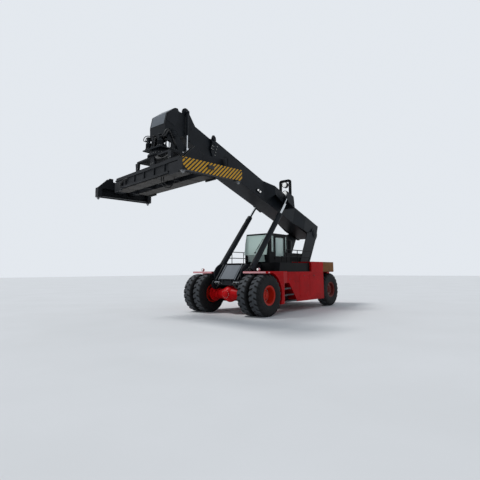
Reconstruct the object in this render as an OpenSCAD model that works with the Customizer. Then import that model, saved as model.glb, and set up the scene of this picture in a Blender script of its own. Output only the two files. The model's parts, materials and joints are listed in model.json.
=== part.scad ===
// Reach stacker: a wheeled container lift truck with a telescopic boom and a
// telescopic spreader. X points forwards, Y to the left, Z up. The origin is on
// the ground, under the middle of the drive axle.

/* [Wheels] */
// Outside diameter of a tyre, over its lugs
tyre_d = 1640; // [1560:10:1680]
// Width of a tyre
tyre_w = 500; // [440:10:540]
// Diameter of a rim over its flanges
rim_d = 800; // [720:10:860]
// Distance between the two tyres of a twin, middle to middle
twin_pitch = 590; // [570:5:620]
// Distance from the middle plane to an outer drive tyre's middle
outer_tyre_y = 1830; // [1820:5:1860]
// Distance from the middle plane to a steered tyre's middle
steer_tyre_y = 1400; // [1380:5:1420]
// Distance from the middle plane to a kingpin
kingpin_y = 1120; // [1100:5:1130]
// Distance between the drive axle and the steered axle
wheelbase = 6000; // [5950:10:6050]

/* [Frame] */
// Distance from the middle plane to the inside of a frame plate
frame_y = 620; // [600:5:640]
// Thickness of a frame plate
frame_t = 40; // [30:5:50]
// Height of the frame's top edge
frame_top = 2080; // [2040:10:2120]
// Height of the frame's lower edge between the axles
frame_low = 620; // [560:10:700]
// Height of the frame's lower edge over the steered axle
frame_rear_low = 1700; // [1690:5:1730]
// Length of the frame plates behind the steered axle
frame_tail = 940; // [920:10:980]
// Distance from the middle plane to the outside of the front box
nose_box_y = 765; // [740:5:765]
// Rear face of the front box
nose_box_back = -790; // [-860:10:-760]
// Height of the front box's feet above the ground
nose_box_low = 1000; // [1000:5:1030]

/* [Side bodies] */
// Distance from the middle plane to the flank of a side body
flank_y = 1750; // [1700:10:1800]
// Distance from the middle plane to a fender's outer edge
fender_y = 2060; // [2040:5:2080]
// Height of the lower edge of a side body
flank_low = 430; // [380:10:500]
// Height of the top of a side body
flank_top = 1730; // [1700:10:1760]
// Distance from the steered axle forwards to a side body's rear end
flank_ahead = 1000; // [950:10:1050]
// Front edge of a fender
fender_front_x = 220; // [180:10:260]
// Thickness of a fender's plate
fender_t = 90; // [70:5:110]
// Underside of a fender
fender_low = 1665; // [1660:5:1690]
// Gap between the drive tyre and the wheel arch
arch_gap = 90; // [60:5:130]

/* [Counterweight] */
// Length of the counterweight's red sides, ahead of its end blocks
weight_side_len = 1150; // [1050:10:1250]
// Length of an end block's flank, from the red side to its chamfer
weight_end_len = 1120; // [1070:10:1200]
// Length of the counterweight behind the steered axle
weight_tail = 1300; // [1250:10:1400]
// Height of the counterweight's top
weight_top = 2200; // [2160:10:2260]
// Radius of the bore for the tow pin
tow_pin_r = 25; // [20:1:30]

/* [Cab] */
// Front of the cab
cab_front_x = -2010; // [-2050:10:-1980]
// Length of the cab at its roof
cab_len = 1450; // [1400:10:1500]
// How far the windscreen's lower edge stands ahead of the roof
cab_rake = 230; // [180:5:260]
// Half the width of the cab
cab_half_w = 700; // [660:10:720]
// Height of the cab's roof
cab_roof = 3510; // [3460:10:3530]
// Thickness of the cab's walls
cab_wall = 50; // [40:5:60]
// Lower edge of the cab's windows
sill_z = 2640; // [2600:10:2700]
// Length of the door
door_len = 840; // [800:10:880]
// Distance from the cab's front to the door
door_start = 330; // [300:10:360]
// Thickness of a window pane
pane_t = 8; // [6:1:12]

/* [Boom] */
// Distance from the steered axle back to the boom's pivot
pivot_back = 200; // [160:10:240]
// Boom pivot, height above the ground
pivot_z = 3750; // [3730:10:3800]
// Angle of the boom above the horizontal
boom_angle = 18.7; // [16:0.1:22]
// Width of the outer boom
boom_w = 900; // [860:10:940]
// Depth of the outer boom
boom_h = 880; // [840:10:900]
// Height of the outer boom's top face above its pivot
boom_top = 710; // [700:5:740]
// Thickness of the boom's plates
boom_t = 20; // [14:1:24]
// Length of the outer boom in front of its pivot
boom_len = 8450; // [8400:10:8500]
// Length of the outer boom's tail behind its pivot
boom_tail = 570; // [520:10:600]
// Radius of the boom's pivot pin
boom_pin_r = 100; // [80:5:120]
// Gap between the outer and the inner boom's plates
boom_gap = 35; // [30:1:45]
// Rear end of the inner boom, in front of the boom's pivot
inner_start = 1500; // [1450:10:1600]

/* [Lift cylinders] */
// Foot pin, measured forwards from the drive axle
lift_foot_x = -130; // [-160:5:-100]
// Foot pin, height above the ground
lift_foot_z = 1600; // [1590:5:1650]
// Distance from the middle plane to a lift cylinder
lift_y = 900; // [890:1:905]
// Rod pin, measured along the boom from its pivot
lift_eye_u = 3253; // [3200:5:3300]
// Rod pin, height above the boom's pivot line
lift_eye_v = 567; // [550:1:590]
// Outside radius of a lift cylinder's barrel
barrel_r = 125; // [110:1:128]
// Radius of a lift cylinder's rod
rod_r = 65; // [50:1:75]
// Length of a barrel from its foot pin to its gland
barrel_len = 3700; // [3650:10:3700]
// Radius of the eyes at both ends
eye_r = 140; // [120:5:150]
// Radius of the pins at both ends
lift_pin_r = 55; // [45:1:65]

/* [Boom head] */
// Head pin, measured along the boom from its pivot
head_u = 10301; // [10280:1:10320]
// Head pin, height above the boom's pivot line
head_v = -288; // [-300:1:-280]
// Radius of the head pin
head_pin_r = 90; // [70:5:100]
// Thickness of the boom nose's side plates
nose_t = 40; // [30:5:45]
// Tilt cylinder pin on the nose, ahead of the head pin along the boom
tilt_u = -250; // [-260:5:-230]
// Tilt cylinder pin on the nose, above the head pin
tilt_v = 1140; // [1100:10:1180]
// Tilt cylinder eye on the yoke, ahead of the head pin
tilt_eye_x = -600; // [-620:5:-580]
// Tilt cylinder eye on the yoke, above the head pin
tilt_eye_z = -470; // [-490:5:-450]

/* [Spreader] */
// Turn of the spreader, seen from above
spreader_turn = -6.4; // [-10:0.1:10]
// Sideways shift of the spreader
spreader_shift = -180; // [-300:10:300]
// Length of the closed spreader over its end beams
spreader_len = 6058; // [6058:1:6100]
// Length of an end beam, across the container
end_beam_w = 2438; // [2420:1:2450]
// Thickness of an end beam
end_beam_t = 250; // [220:5:270]
// Depth of an end beam's striped face
end_beam_h = 380; // [340:5:400]
// Top of the end beams below the head pin
end_beam_drop = 1640; // [1620:5:1660]
// Distance from an end beam's outer face to its twistlocks' middles
lock_inset = 102.5; // [99:0.5:110]
// Distance between the twistlocks across the container
lock_pitch_x = 2259; // [2255:1:2262]
// Top of the spreader's frame below the head pin
girder_drop = 1325; // [1320:1:1330]
// Depth of the spreader's frame
girder_h = 500; // [480:5:520]
// Half the width of the spreader's frame
girder_half_w = 740; // [720:5:745]
// Half the width of the slot between the two girders
girder_slot = 200; // [180:5:220]
// Half the length of the spreader's frame
girder_half_len = 2200; // [2150:10:2300]
// Thickness of the girders' walls
girder_t = 20; // [15:1:25]

/* [Hidden] */
$fn = 48;

// Play of a pin or shaft in its bore, and of a part that slides on its pads
run_gap = 0.5;
// Play of parts that pass one another without touching
free_gap = 10;

// Places that follow the steered axle
steer_x = -wheelbase;
frame_rear_x = steer_x - frame_tail;
flank_rear_x = steer_x + flank_ahead;
weight_split_x = flank_rear_x;
weight_front_x = weight_split_x + weight_side_len;
weight_side_x = weight_split_x - weight_end_len;
weight_rear_x = steer_x - weight_tail;
pivot_x = steer_x - pivot_back;

tyre_r = tyre_d / 2;
rim_r = rim_d / 2;
cab_floor = frame_top;
inner_tyre_y = outer_tyre_y - twin_pitch;
boom_low = boom_top - boom_h;
boom_half = boom_w / 2;
inner_half = boom_half - boom_t - boom_gap;
inner_top = boom_top - boom_t - boom_gap;
inner_low = boom_low + boom_t + boom_gap;
frame_out = frame_y + frame_t;

// The head pin's place in the part's own frame
head_x = pivot_x + head_u * cos(boom_angle) - head_v * sin(boom_angle);
head_z = pivot_z + head_u * sin(boom_angle) + head_v * cos(boom_angle);

// The lift cylinders run from their foot pins to their eyes on the boom
lift_top_x = pivot_x + lift_eye_u * cos(boom_angle) - lift_eye_v * sin(boom_angle);
lift_top_z = pivot_z + lift_eye_u * sin(boom_angle) + lift_eye_v * cos(boom_angle);
lift_lean = atan2(lift_top_z - lift_foot_z, lift_top_x - lift_foot_x);
lift_len = norm([lift_top_x - lift_foot_x, lift_top_z - lift_foot_z]);

// The tilt cylinders run from the nose down to the yoke
tilt_top_x = head_x + tilt_u * cos(boom_angle) - tilt_v * sin(boom_angle);
tilt_top_z = head_z + tilt_u * sin(boom_angle) + tilt_v * cos(boom_angle);
tilt_low_x = head_x + tilt_eye_x;
tilt_low_z = head_z + tilt_eye_z;
tilt_lean = atan2(tilt_low_z - tilt_top_z, tilt_low_x - tilt_top_x);
tilt_len = norm([tilt_top_x - tilt_low_x, tilt_top_z - tilt_low_z]);

nose_out = inner_half + nose_t;
// Half the width of the outer boom where it flares out to its pivot
flare_y = frame_y - 2 * free_gap;

cheek_t = 25;
cheek_in = nose_out + 7;
cheek_out = cheek_in + cheek_t;
tilt_r = 50;
tilt_y = cheek_out + tilt_r + free_gap;

module span_box(low, high) {
  translate(low) cube(high - low);
}

// A plate whose outline lies in the X-Z plane, from y0 to y1
module side_plate(outline, y0, y1) {
  translate([0, y1, 0]) rotate([90, 0, 0]) linear_extrude(y1 - y0) polygon(outline);
}

// A round bar along Y
module bar_y(r, y0, y1) {
  translate([0, y1, 0]) rotate([90, 0, 0]) cylinder(r = r, h = y1 - y0);
}

// A round bar along X
module bar_x(r, x0, x1) {
  translate([x0, 0, 0]) rotate([0, 90, 0]) cylinder(r = r, h = x1 - x0);
}

module both_sides() {
  children();
  mirror([0, 1, 0]) children();
}

// Places children that are drawn along and above the boom's pivot line
module on_boom() {
  translate([pivot_x, 0, pivot_z]) rotate([0, -boom_angle, 0]) children();
}

// Places children that are drawn around the head pin, level
module on_head() {
  translate([head_x, 0, head_z]) children();
}

// Places children that are drawn around the slewing axis, turned with the spreader
module on_rotator() {
  on_head() rotate([0, 0, spreader_turn]) children();
}

// Places children of the spreader, which is shifted along its own length
module on_spreader() {
  on_rotator() translate([0, spreader_shift, 0]) children();
}

/* Wheels */

tyre_seat_r = rim_r - 50;
shoulder_r = tyre_r - 45;

// A tyre's section, as [radius, offset from the tyre's middle]
tyre_section = [
  [tyre_seat_r, -tyre_w / 2 + 70], [rim_r + 20, -tyre_w / 2 + 20], [rim_r + 150, -tyre_w / 2],
  [shoulder_r, -tyre_w / 2 + 25], [tyre_r, -tyre_w / 2 + 90], [tyre_r, tyre_w / 2 - 90],
  [shoulder_r, tyre_w / 2 - 25], [rim_r + 150, tyre_w / 2], [rim_r + 20, tyre_w / 2 - 20],
  [tyre_seat_r, tyre_w / 2 - 70]
];
lugs = 18;
lug_depth = 38;

// Grooves across both shoulders leave the tread's lugs between them
module tyre(y) {
  translate([0, y, 0]) difference() {
    rotate([-90, 0, 0]) rotate_extrude($fn = 48) polygon(tyre_section);
    for (side = [-1, 1], i = [0 : lugs - 1])
      rotate([0, (i + side / 4) * 360 / lugs, 0]) translate([0, side * tyre_w / 2, tyre_r])
        rotate([0, 0, side * 14]) span_box([-48, -165, -lug_depth], [48, 165, 60]);
  }
}

// A rim's section with its disc at the given offset, open towards the other side
module rim(y, disc, bore) {
  well = tyre_seat_r - run_gap;
  flange_in = tyre_w / 2 - 70 + run_gap;
  flange_out = tyre_w / 2 - 41 + run_gap;
  translate([0, y, 0]) rotate([-90, 0, 0]) rotate_extrude($fn = 96) polygon([
    [well - 25, 5 - flange_out], [rim_r - 12, -flange_out - 14], [rim_r - 12, -flange_out], [well, -flange_in],
    [well, flange_in], [rim_r - 12, flange_out], [rim_r - 12, flange_out + 14], [well - 25, flange_out - 5],
    [well - 60, disc + 45], [bore, disc + 20], [bore, disc - 20], [well - 60, disc - 25],
    [well - 25, disc - 80]
  ]);
}

hub_r = 210;
spindle_r = 110;
drive_hub_in = inner_tyre_y - tyre_w / 2 + 60;
drive_hub_out = outer_tyre_y - 20;

module drive_rims() {
  rim(inner_tyre_y, 60, hub_r);
  rim(outer_tyre_y, -60, hub_r);
  difference() {
    union() {
      bar_y(hub_r, drive_hub_in, drive_hub_out);
      bar_y(hub_r - 60, drive_hub_in, drive_hub_out + 70);
    }
    bar_y(spindle_r + run_gap, drive_hub_in - 1, drive_hub_in + 300);
  }
}

steer_hub_in = steer_tyre_y - 40;
steer_hub_out = steer_tyre_y + 120;

module steer_rim() {
  rim(steer_tyre_y, 60, hub_r - 40);
  difference() {
    bar_y(hub_r - 40, steer_hub_in, steer_hub_out);
    bar_y(spindle_r - 20 + run_gap, steer_hub_in - 1, steer_hub_in + 120);
  }
}

module place_drive_wheel(side) {
  translate([0, 0, tyre_r]) mirror([0, side < 0 ? 1 : 0, 0]) children();
}

module place_steer_wheel(side) {
  translate([steer_x, 0, tyre_r]) mirror([0, side < 0 ? 1 : 0, 0]) children();
}

module drive_tyres() {
  tyre(inner_tyre_y);
  tyre(outer_tyre_y);
}

module front_left_tyres() {
  color("#2a2c2e") place_drive_wheel(1) drive_tyres();
}

module front_right_tyres() {
  color("#2a2c2e") place_drive_wheel(-1) drive_tyres();
}

module front_left_rims() {
  color("#c8321e") place_drive_wheel(1) drive_rims();
}

module front_right_rims() {
  color("#c8321e") place_drive_wheel(-1) drive_rims();
}

module rear_left_tyre() {
  color("#2a2c2e") place_steer_wheel(1) tyre(steer_tyre_y);
}

module rear_right_tyre() {
  color("#2a2c2e") place_steer_wheel(-1) tyre(steer_tyre_y);
}

module rear_left_rim() {
  color("#c8321e") place_steer_wheel(1) steer_rim();
}

module rear_right_rim() {
  color("#c8321e") place_steer_wheel(-1) steer_rim();
}

/* Axles */

kingpin_r = 60;
knuckle_half_h = 210;
fork_gap = 150;

module drive_axle() {
  brake_in = inner_tyre_y - tyre_w / 2 - 170;
  color("#b01218") translate([0, 0, tyre_r]) {
    bar_y(170, -brake_in, brake_in);
    // The round housing of the differential, its cover with a hub, and the pinion's neck behind
    difference() {
      sphere(r = 330);
      span_box([-400, -400, -400], [-210, 400, 400]);
    }
    bar_x(345, -40, 30);
    bar_x(130, 0, 350);
    bar_x(180, -420, -200);
    both_sides() {
      translate([0, 560, 0]) rotate([90, 0, 0]) cylinder(r1 = 175, r2 = 255, h = 350);
      bar_y(225, 560, 600);
      bar_y(235, nose_box_y + 20, brake_in);
      bar_y(330, brake_in, brake_in + 40);
      bar_y(300, brake_in + 40, brake_in + 100);
      bar_y(spindle_r, brake_in + 100, drive_hub_in + 290);
      span_box([-240, frame_out + 10, 60], [240, nose_box_y, nose_box_low - tyre_r]);
    }
  }
}

// The steered axle's beam, with a forked end round each kingpin's knuckle
module steer_axle() {
  color("#7a0d12") translate([steer_x, 0, tyre_r]) {
    span_box([-170, -560, -120], [170, 560, 120]);
    translate([0, 0, 130]) bar_x(120, -380, 380);
    both_sides() {
      for (z = [fork_gap, -fork_gap - 60])
        difference() {
          union() {
            span_box([-130, 500, z], [130, kingpin_y, z + 60]);
            translate([0, kingpin_y, z]) cylinder(r = 130, h = 60);
          }
          translate([0, kingpin_y, z - 1]) cylinder(r = kingpin_r + run_gap, h = 62);
        }
      span_box([-130, 500, -fork_gap - 60], [130, 560, fork_gap + 60]);
    }
  }
}

// A knuckle turns on its kingpin between the fork's two eyes
module knuckle() {
  translate([0, kingpin_y, -fork_gap - 60]) cylinder(r = kingpin_r, h = 2 * fork_gap + 120);
  translate([0, kingpin_y, -fork_gap + run_gap]) cylinder(r = 120, h = 2 * (fork_gap - run_gap));
  bar_y(spindle_r - 20, kingpin_y, steer_hub_in + 110);
  bar_y(fork_gap - 15, kingpin_y + 60, steer_hub_in - free_gap);
}

module left_knuckle() {
  color("#7a0d12") place_steer_wheel(1) knuckle();
}

module right_knuckle() {
  color("#7a0d12") place_steer_wheel(-1) knuckle();
}

/* Frame */

// Outline of a frame plate with its boom tower, in the X-Z plane
frame_outline = [
  [nose_box_back, nose_box_low], [nose_box_back, frame_top - 20], [-2000, frame_top],
  [pivot_x + 1600, frame_top], [pivot_x + 760, pivot_z - 20], [pivot_x + 300, pivot_z + 90],
  [pivot_x, pivot_z], [pivot_x - 300, pivot_z], [pivot_x + 600, frame_top + 120],
  [frame_rear_x, frame_top + 60], [frame_rear_x, frame_rear_low], [steer_x + 880, frame_rear_low],
  [steer_x + 1080, frame_low], [-1500, frame_low]
];

module frame_plate() {
  difference() {
    union() {
      side_plate(frame_outline, frame_y, frame_out);
      translate([pivot_x, 0, pivot_z]) bar_y(300, frame_y, frame_out);
      translate([pivot_x, 0, pivot_z]) bar_y(190, flare_y + free_gap, frame_out + 40);
    }
    translate([pivot_x, 0, pivot_z]) bar_y(boom_pin_r + run_gap, 0, frame_out + 50);
  }
}

module frame_left() {
  color("#23282e") frame_plate();
}

module frame_right() {
  color("#23282e") mirror([0, 1, 0]) frame_plate();
}

ear_t = 25;
foot_ear_in = nose_box_y;
foot_ear_out = lift_y + 45;

// The front box carries the drive axle and the feet of the lift cylinders
module frame_front() {
  core = [
    [190, nose_box_low + 180], [190, nose_box_low + 380], [60, nose_box_low + 400],
    [-300, frame_top - 130], [nose_box_back, frame_top - 100], [nose_box_back, nose_box_low + 180]
  ];
  // A cheek's outline is closed by two round lobes, as [X, Z, radius]
  cheek = [
    [140, nose_box_low], [140, nose_box_low + 420], [lift_foot_x + 300, lift_foot_z + 60],
    [lift_foot_x - 120, frame_top - 20], [nose_box_back, frame_top - 20], [nose_box_back, nose_box_low]
  ];
  lobes = [[140, nose_box_low + 200, 200], [lift_foot_x - 100, frame_top - 460, 440]];
  rib = [
    [230, nose_box_low + 330], [230, nose_box_low + 430], [-250, frame_top - 40],
    [-420, frame_top - 40], [-420, nose_box_low + 330]
  ];
  ear = [[110, lift_foot_z - 170], [110, lift_foot_z + 60], [-20, lift_foot_z + 190],
    [-250, lift_foot_z + 190], [-370, lift_foot_z + 60], [-370, lift_foot_z - 170]];
  color("#23282e") {
    difference() {
      side_plate(core, -nose_box_y + frame_t, nose_box_y - frame_t);
      side_plate([[140, nose_box_low + 230], [140, nose_box_low + 340], [30, nose_box_low + 350],
        [-320, frame_top - 180], [nose_box_back - 1, frame_top - 150], [nose_box_back - 1, nose_box_low + 230]],
        -nose_box_y + 2 * frame_t, nose_box_y - 2 * frame_t);
    }
    both_sides() {
      side_plate(cheek, nose_box_y - frame_t, nose_box_y);
      for (l = lobes) translate([l[0], 0, l[1]]) bar_y(l[2], nose_box_y - frame_t, nose_box_y);
      for (y = [210, 400, 590]) side_plate(rib, y, y + 40);
      side_plate(ear, foot_ear_out, foot_ear_out + ear_t);
      span_box([-370, nose_box_y, lift_foot_z - 170], [110, foot_ear_out + ear_t, lift_foot_z - 150]);
      translate([lift_foot_x, 0, lift_foot_z]) bar_y(lift_pin_r, nose_box_y - 1, foot_ear_out + 1);
    }
  }
}

// The cross box over the steered axle, with the ears of the axle's rocking pin
module frame_rear() {
  pin_z = tyre_r + 130;
  low = pin_z - frame_rear_low - 180;
  ear = [[-330, 0], [330, 0], [200, low + 180], [120, low], [-120, low], [-200, low + 180]];
  color("#23282e") {
    span_box([steer_x - 700, -frame_y, frame_rear_low], [steer_x + 750, frame_y, frame_rear_low + 250]);
    for (x = [steer_x - 420, steer_x + 340])
      difference() {
        translate([x, 0, frame_rear_low]) rotate([90, 0, 90]) linear_extrude(80) polygon(ear);
        translate([x, 0, pin_z]) bar_x(120 + run_gap, -1, 81);
      }
  }
}

engine_x = flank_rear_x + 200;

module engine_block() {
  color("#5a5f64") {
    span_box([engine_x, -300, 980], [engine_x + 1100, 300, 1700]);
    for (x = [engine_x + 50, engine_x + 900]) span_box([x, -frame_y, 1150], [x + 150, frame_y, 1220]);
  }
}

hood_x0 = flank_rear_x + 100;
hood_x1 = cab_front_x - cab_len - 100;
hood_top = frame_top + 560;
hood_t = 20;

// The engine hood behind the cab, open below and louvred on both sides, with the air cleaner on it
module engine_hood() {
  color("#23282e") translate([hood_x1 - 330, frame_y - 250, hood_top]) {
    cylinder(r = 230, h = 620);
    translate([0, 0, 620]) cylinder(r1 = 230, r2 = 170, h = 60);
    translate([0, 0, 60]) cylinder(r = 240, h = 40);
    translate([0, 0, 520]) cylinder(r = 240, h = 40);
  }
  color("#23282e") difference() {
    span_box([hood_x0, -frame_y, frame_top - 40], [hood_x1, frame_y, hood_top]);
    span_box([hood_x0 + hood_t, -frame_y + hood_t, frame_top - 41],
      [hood_x1 - hood_t, frame_y - hood_t, hood_top - hood_t]);
    for (x = [hood_x0 + 200 : 90 : hood_x1 - 240])
      span_box([x, -frame_y - 1, frame_top + 170], [x + 40, frame_y + 1, hood_top - 120]);
  }
}

/* Side bodies */

// A side tank with its wheel arch and the recess for its steps, left hand
tank_t = 15;

// The tank reaches forwards over the drive wheels, outside the lift cylinders
arch_front_x = -150;
arch_in_y = lift_y + 170;

module side_tank() {
  arch_r = tyre_r + arch_gap;
  plan = [[-arch_r + 60, frame_out], [-arch_r + 60, arch_in_y], [arch_front_x, arch_in_y],
    [arch_front_x, fender_y - 30], [-1050, fender_y - 30], [-1750, flank_y], [flank_rear_x, flank_y],
    [flank_rear_x, frame_out]];
  recess = [[-1180, flank_low - 10], [-2560, flank_low - 10], [-1880, flank_low + 830],
    [-1180, flank_low + 830]];
  difference() {
    translate([0, 0, flank_low]) linear_extrude(flank_top - flank_low) polygon(plan);
    translate([0, 0, tyre_r]) bar_y(arch_r, 0, fender_y + 50);
    side_plate(recess, flank_y - 420, fender_y + 50);
    // The tank is hollow, and the frame plate closes it on the inside
    span_box([flank_rear_x + tank_t, frame_out - 1, flank_low + tank_t],
      [-2650, flank_y - tank_t, flank_top - tank_t]);
    span_box([-2651, frame_out - 1, flank_low + tank_t],
      [-1200, flank_y - 420 - tank_t, flank_top - tank_t]);
  }
}

module left_side_tank() {
  color("#b01218") side_tank();
}

module right_side_tank() {
  color("#b01218") mirror([0, 1, 0]) side_tank();
}

deck_front_x = -1300;
deck_y = flank_y - 100;
deck_top = cab_floor + 50;

// The black deck beside the cab, closed at its flank and hollow below, and the treads of the steps
module walkways() {
  color("#23282e") both_sides() {
    difference() {
      union() {
        side_plate([[weight_front_x, flank_top], [deck_front_x, flank_top], [deck_front_x - 60, deck_top],
          [weight_front_x, deck_top]], frame_out, deck_y);
        span_box([weight_front_x, frame_out, flank_top], [deck_front_x, flank_y - 20, flank_top + 20]);
      }
      span_box([weight_front_x + 20, frame_out - 1, flank_top - 1],
        [deck_front_x - 80, deck_y - 20, frame_top - 20]);
      span_box([cab_back_x - free_gap, 0, cab_floor], [cab_sill_x + free_gap, cab_half_w + free_gap, deck_top + 1]);
    }
    for (i = [0 : 2])
      span_box([-1560 - 130 * i, flank_y - 420, flank_low + 40 + 270 * (2 - i)],
        [-1180, flank_y + 30, flank_low + 70 + 270 * (2 - i)]);
  }
}

module fenders() {
  plan = [[fender_front_x, 890], [fender_front_x, fender_y], [arch_front_x, fender_y],
    [arch_front_x, arch_in_y], [130, arch_in_y], [130, 890]];
  color("#b01218") both_sides()
    translate([0, 0, fender_low + 10]) linear_extrude(fender_t - 10) polygon(plan);
  // The black sheet over the arch
  color("#1d2125") both_sides()
    span_box([deck_front_x, arch_in_y, flank_top], [arch_front_x, fender_y - 30, fender_low + fender_t]);
}

// Reflective strips, round work lamps and side markers on the fenders
module front_markers() {
  color("#e8b8b8") both_sides() {
    span_box([fender_front_x, 900, fender_low + 14], [fender_front_x + 8, fender_y - 20, fender_low + 84]);
    translate([60, 1570, fender_low + fender_t]) cylinder(r = 25, h = 30);
    translate([30, 1570, fender_low + fender_t + 75]) bar_x(62, 0, 80);
    span_box([0, fender_y, fender_low + 20], [80, fender_y + 20, fender_low + 70]);
  }
}

/* Counterweight */

module counterweight() {
  color("#b01218") difference() {
    union() {
      both_sides() difference() {
        span_box([weight_split_x, frame_out, flank_top], [weight_front_x, flank_y, weight_top]);
        span_box([weight_split_x + 30, frame_out + 30, flank_top - 1],
          [weight_front_x - 30, flank_y - 30, weight_top - 30]);
      }
      translate([0, 0, frame_rear_low]) linear_extrude(weight_top - frame_rear_low)
        polygon([[frame_rear_x, -1300], [frame_rear_x, 1300], [weight_rear_x + 120, 1100], [weight_rear_x, 900],
          [weight_rear_x, -900], [weight_rear_x + 120, -1100]]);
      span_box([weight_rear_x, -900, 760], [frame_rear_x - 60, 900, frame_rear_low]);
    }
    span_box([weight_rear_x - 1, -90, 980], [weight_rear_x + 170, 90, 1100]);
    span_box([weight_rear_x - 1, -70, 1180], [weight_rear_x + 170, 70, weight_top + 1]);
    translate([weight_rear_x + 90, 0, 900]) cylinder(r = tow_pin_r, h = 281);
  }
}

module counterweight_ends() {
  color("#a5702a") both_sides()
    translate([0, 0, frame_rear_low + 20]) linear_extrude(weight_top - frame_rear_low - 20)
      polygon([[weight_split_x, frame_out], [weight_split_x, flank_y], [weight_side_x, flank_y],
        [frame_rear_x, 1300], [frame_rear_x, frame_out]]);
}

/* Cab */

cab_back_x = cab_front_x - cab_len;
cab_sill_x = cab_front_x + cab_rake;
header_z = cab_roof - 110;
door_x1 = cab_front_x - door_start;
door_x0 = door_x1 - door_len;
door_low = cab_floor + 60;
corner = 150;

// The cab's shape, set in on all sides, with round front corners and a front that leans back above its sill
module cab_shell(inset) {
  x0 = cab_back_x + inset;
  x1 = cab_sill_x - inset;
  y = cab_half_w - inset;
  r = corner - inset;
  intersection() {
    union() {
      span_box([x0, -y, cab_floor + inset], [x1 - r, y, cab_roof - inset]);
      span_box([x1 - r - 1, -y + r, cab_floor + inset], [x1, y - r, cab_roof - inset]);
      for (s = [-1, 1])
        translate([x1 - r, s * (y - r), cab_floor + inset]) cylinder(r = r, h = cab_roof - cab_floor - 2 * inset);
    }
    side_plate([[x0 - 1, cab_floor - 1], [x1 - 90, cab_floor - 1], [x1 + 1, sill_z - 60],
      [cab_front_x - inset, cab_roof + 1], [x0 - 1, cab_roof + 1]], -cab_half_w - 1, cab_half_w + 1);
  }
}

hinge_r = 15;
hinge_pin_r = 7;
hinge_x = door_x1 - hinge_r;
hinge_y = cab_half_w + hinge_r - 5;
hinge_z = [door_low + 200, header_z - 260];

// The cab's half of a door hinge: a knuckle with its pin, on a leaf ahead of the door
module cab_hinge(z) {
  translate([hinge_x, hinge_y, z - 50]) cylinder(r = hinge_r, h = 50 - run_gap);
  translate([hinge_x, hinge_y, z - 50]) cylinder(r = hinge_pin_r, h = 130);
  span_box([hinge_x, cab_half_w - 1, z - 50], [door_x1 + 50, cab_half_w + 12, z - run_gap]);
}

module cab_body() {
  color("#23282e") for (z = hinge_z) cab_hinge(z);
  color("#23282e") difference() {
    cab_shell(0);
    cab_shell(cab_wall);
    span_box([cab_front_x - 200, -cab_half_w + corner, sill_z - 40],
      [cab_sill_x + 1, cab_half_w - corner, header_z]);
    span_box([cab_front_x - 100, -cab_half_w + corner + 60, cab_floor + 110],
      [cab_sill_x + 1, cab_half_w - corner - 60, sill_z - 110]);
    span_box([cab_back_x - 1, -cab_half_w + 160, sill_z],
      [cab_back_x + 200, cab_half_w - 160, header_z]);
    span_box([door_x0, -cab_half_w - 1, sill_z], [door_x1 + 120, -cab_half_w + 200, header_z]);
    span_box([door_x0, 0, door_low], [door_x1, cab_half_w + 1, header_z]);
    span_box([door_x1 + 60, 0, sill_z], [cab_front_x - 70, cab_half_w + 1, header_z]);
    span_box([cab_back_x + 90, 0, sill_z], [door_x0 - 60, cab_half_w + 1, header_z]);
  }
}

module pane_x(x, y0, y1, z0, z1) {
  span_box([x - pane_t / 2, y0, z0], [x + pane_t / 2, y1, z1]);
}

module pane_y(y, x0, x1, z0, z1) {
  span_box([x0, y - pane_t / 2, z0], [x1, y + pane_t / 2, z1]);
}

// The outside of the cab's front at a height: it leans out to the sill and back to the roof
function screen_x(z) = z < sill_z - 60
  ? cab_sill_x - 90 * (sill_z - 60 - z) / (sill_z - 60 - cab_floor)
  : cab_sill_x - cab_rake * (z - sill_z + 60) / (cab_roof - sill_z + 60);

module cab_glass() {
  mid = cab_wall / 2;
  color("#bcd8cc") {
    // The windscreen leans with the cab's front, and a low pane shows the ground ahead
    side_plate([for (e = [[-1, sill_z - 40], [1, sill_z - 40], [1, header_z], [-1, header_z]])
      [screen_x(e[1]) - mid + e[0] * pane_t / 2, e[1]]], -cab_half_w + corner, cab_half_w - corner);
    side_plate([for (e = [[-1, cab_floor + 110], [1, cab_floor + 110], [1, sill_z - 110], [-1, sill_z - 110]])
      [screen_x(e[1]) - mid + e[0] * pane_t / 2, e[1]]], -cab_half_w + corner + 60, cab_half_w - corner - 60);
    pane_x(cab_back_x + mid, -cab_half_w + 160, cab_half_w - 160, sill_z, header_z);
    pane_y(-cab_half_w + mid, door_x0, door_x1 + 120, sill_z, header_z);
    pane_y(cab_half_w - mid, door_x1 + 60, cab_front_x - 70, sill_z, header_z);
    pane_y(cab_half_w - mid, cab_back_x + 90, door_x0 - 60, sill_z, header_z);
  }
}

door_gap = 6;
door_border = 70;

module cab_door() {
  color("#23282e") difference() {
    union() {
      span_box([door_x0 + door_gap, cab_half_w - cab_wall, door_low + door_gap],
        [door_x1 - door_gap, cab_half_w, header_z - door_gap]);
      for (z = hinge_z) translate([hinge_x, hinge_y, z]) cylinder(r = hinge_r, h = 90);
    }
    for (z = hinge_z) {
      translate([hinge_x, hinge_y, z - 51]) cylinder(r = hinge_pin_r + run_gap, h = 150);
      translate([hinge_x, hinge_y, z - 52]) cylinder(r = hinge_r + 2, h = 52);
      span_box([hinge_x, cab_half_w - 2, z - 52], [door_x1, cab_half_w + 20, z]);
    }
    span_box([door_x0 + door_border, 0, sill_z - 200],
      [door_x1 - door_border, cab_half_w + 1, header_z - door_border]);
  }
}

module door_glass() {
  color("#bcd8cc") pane_y(cab_half_w - cab_wall / 2, door_x0 + door_border, door_x1 - door_border,
    sill_z - 200, header_z - door_border);
}

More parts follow.
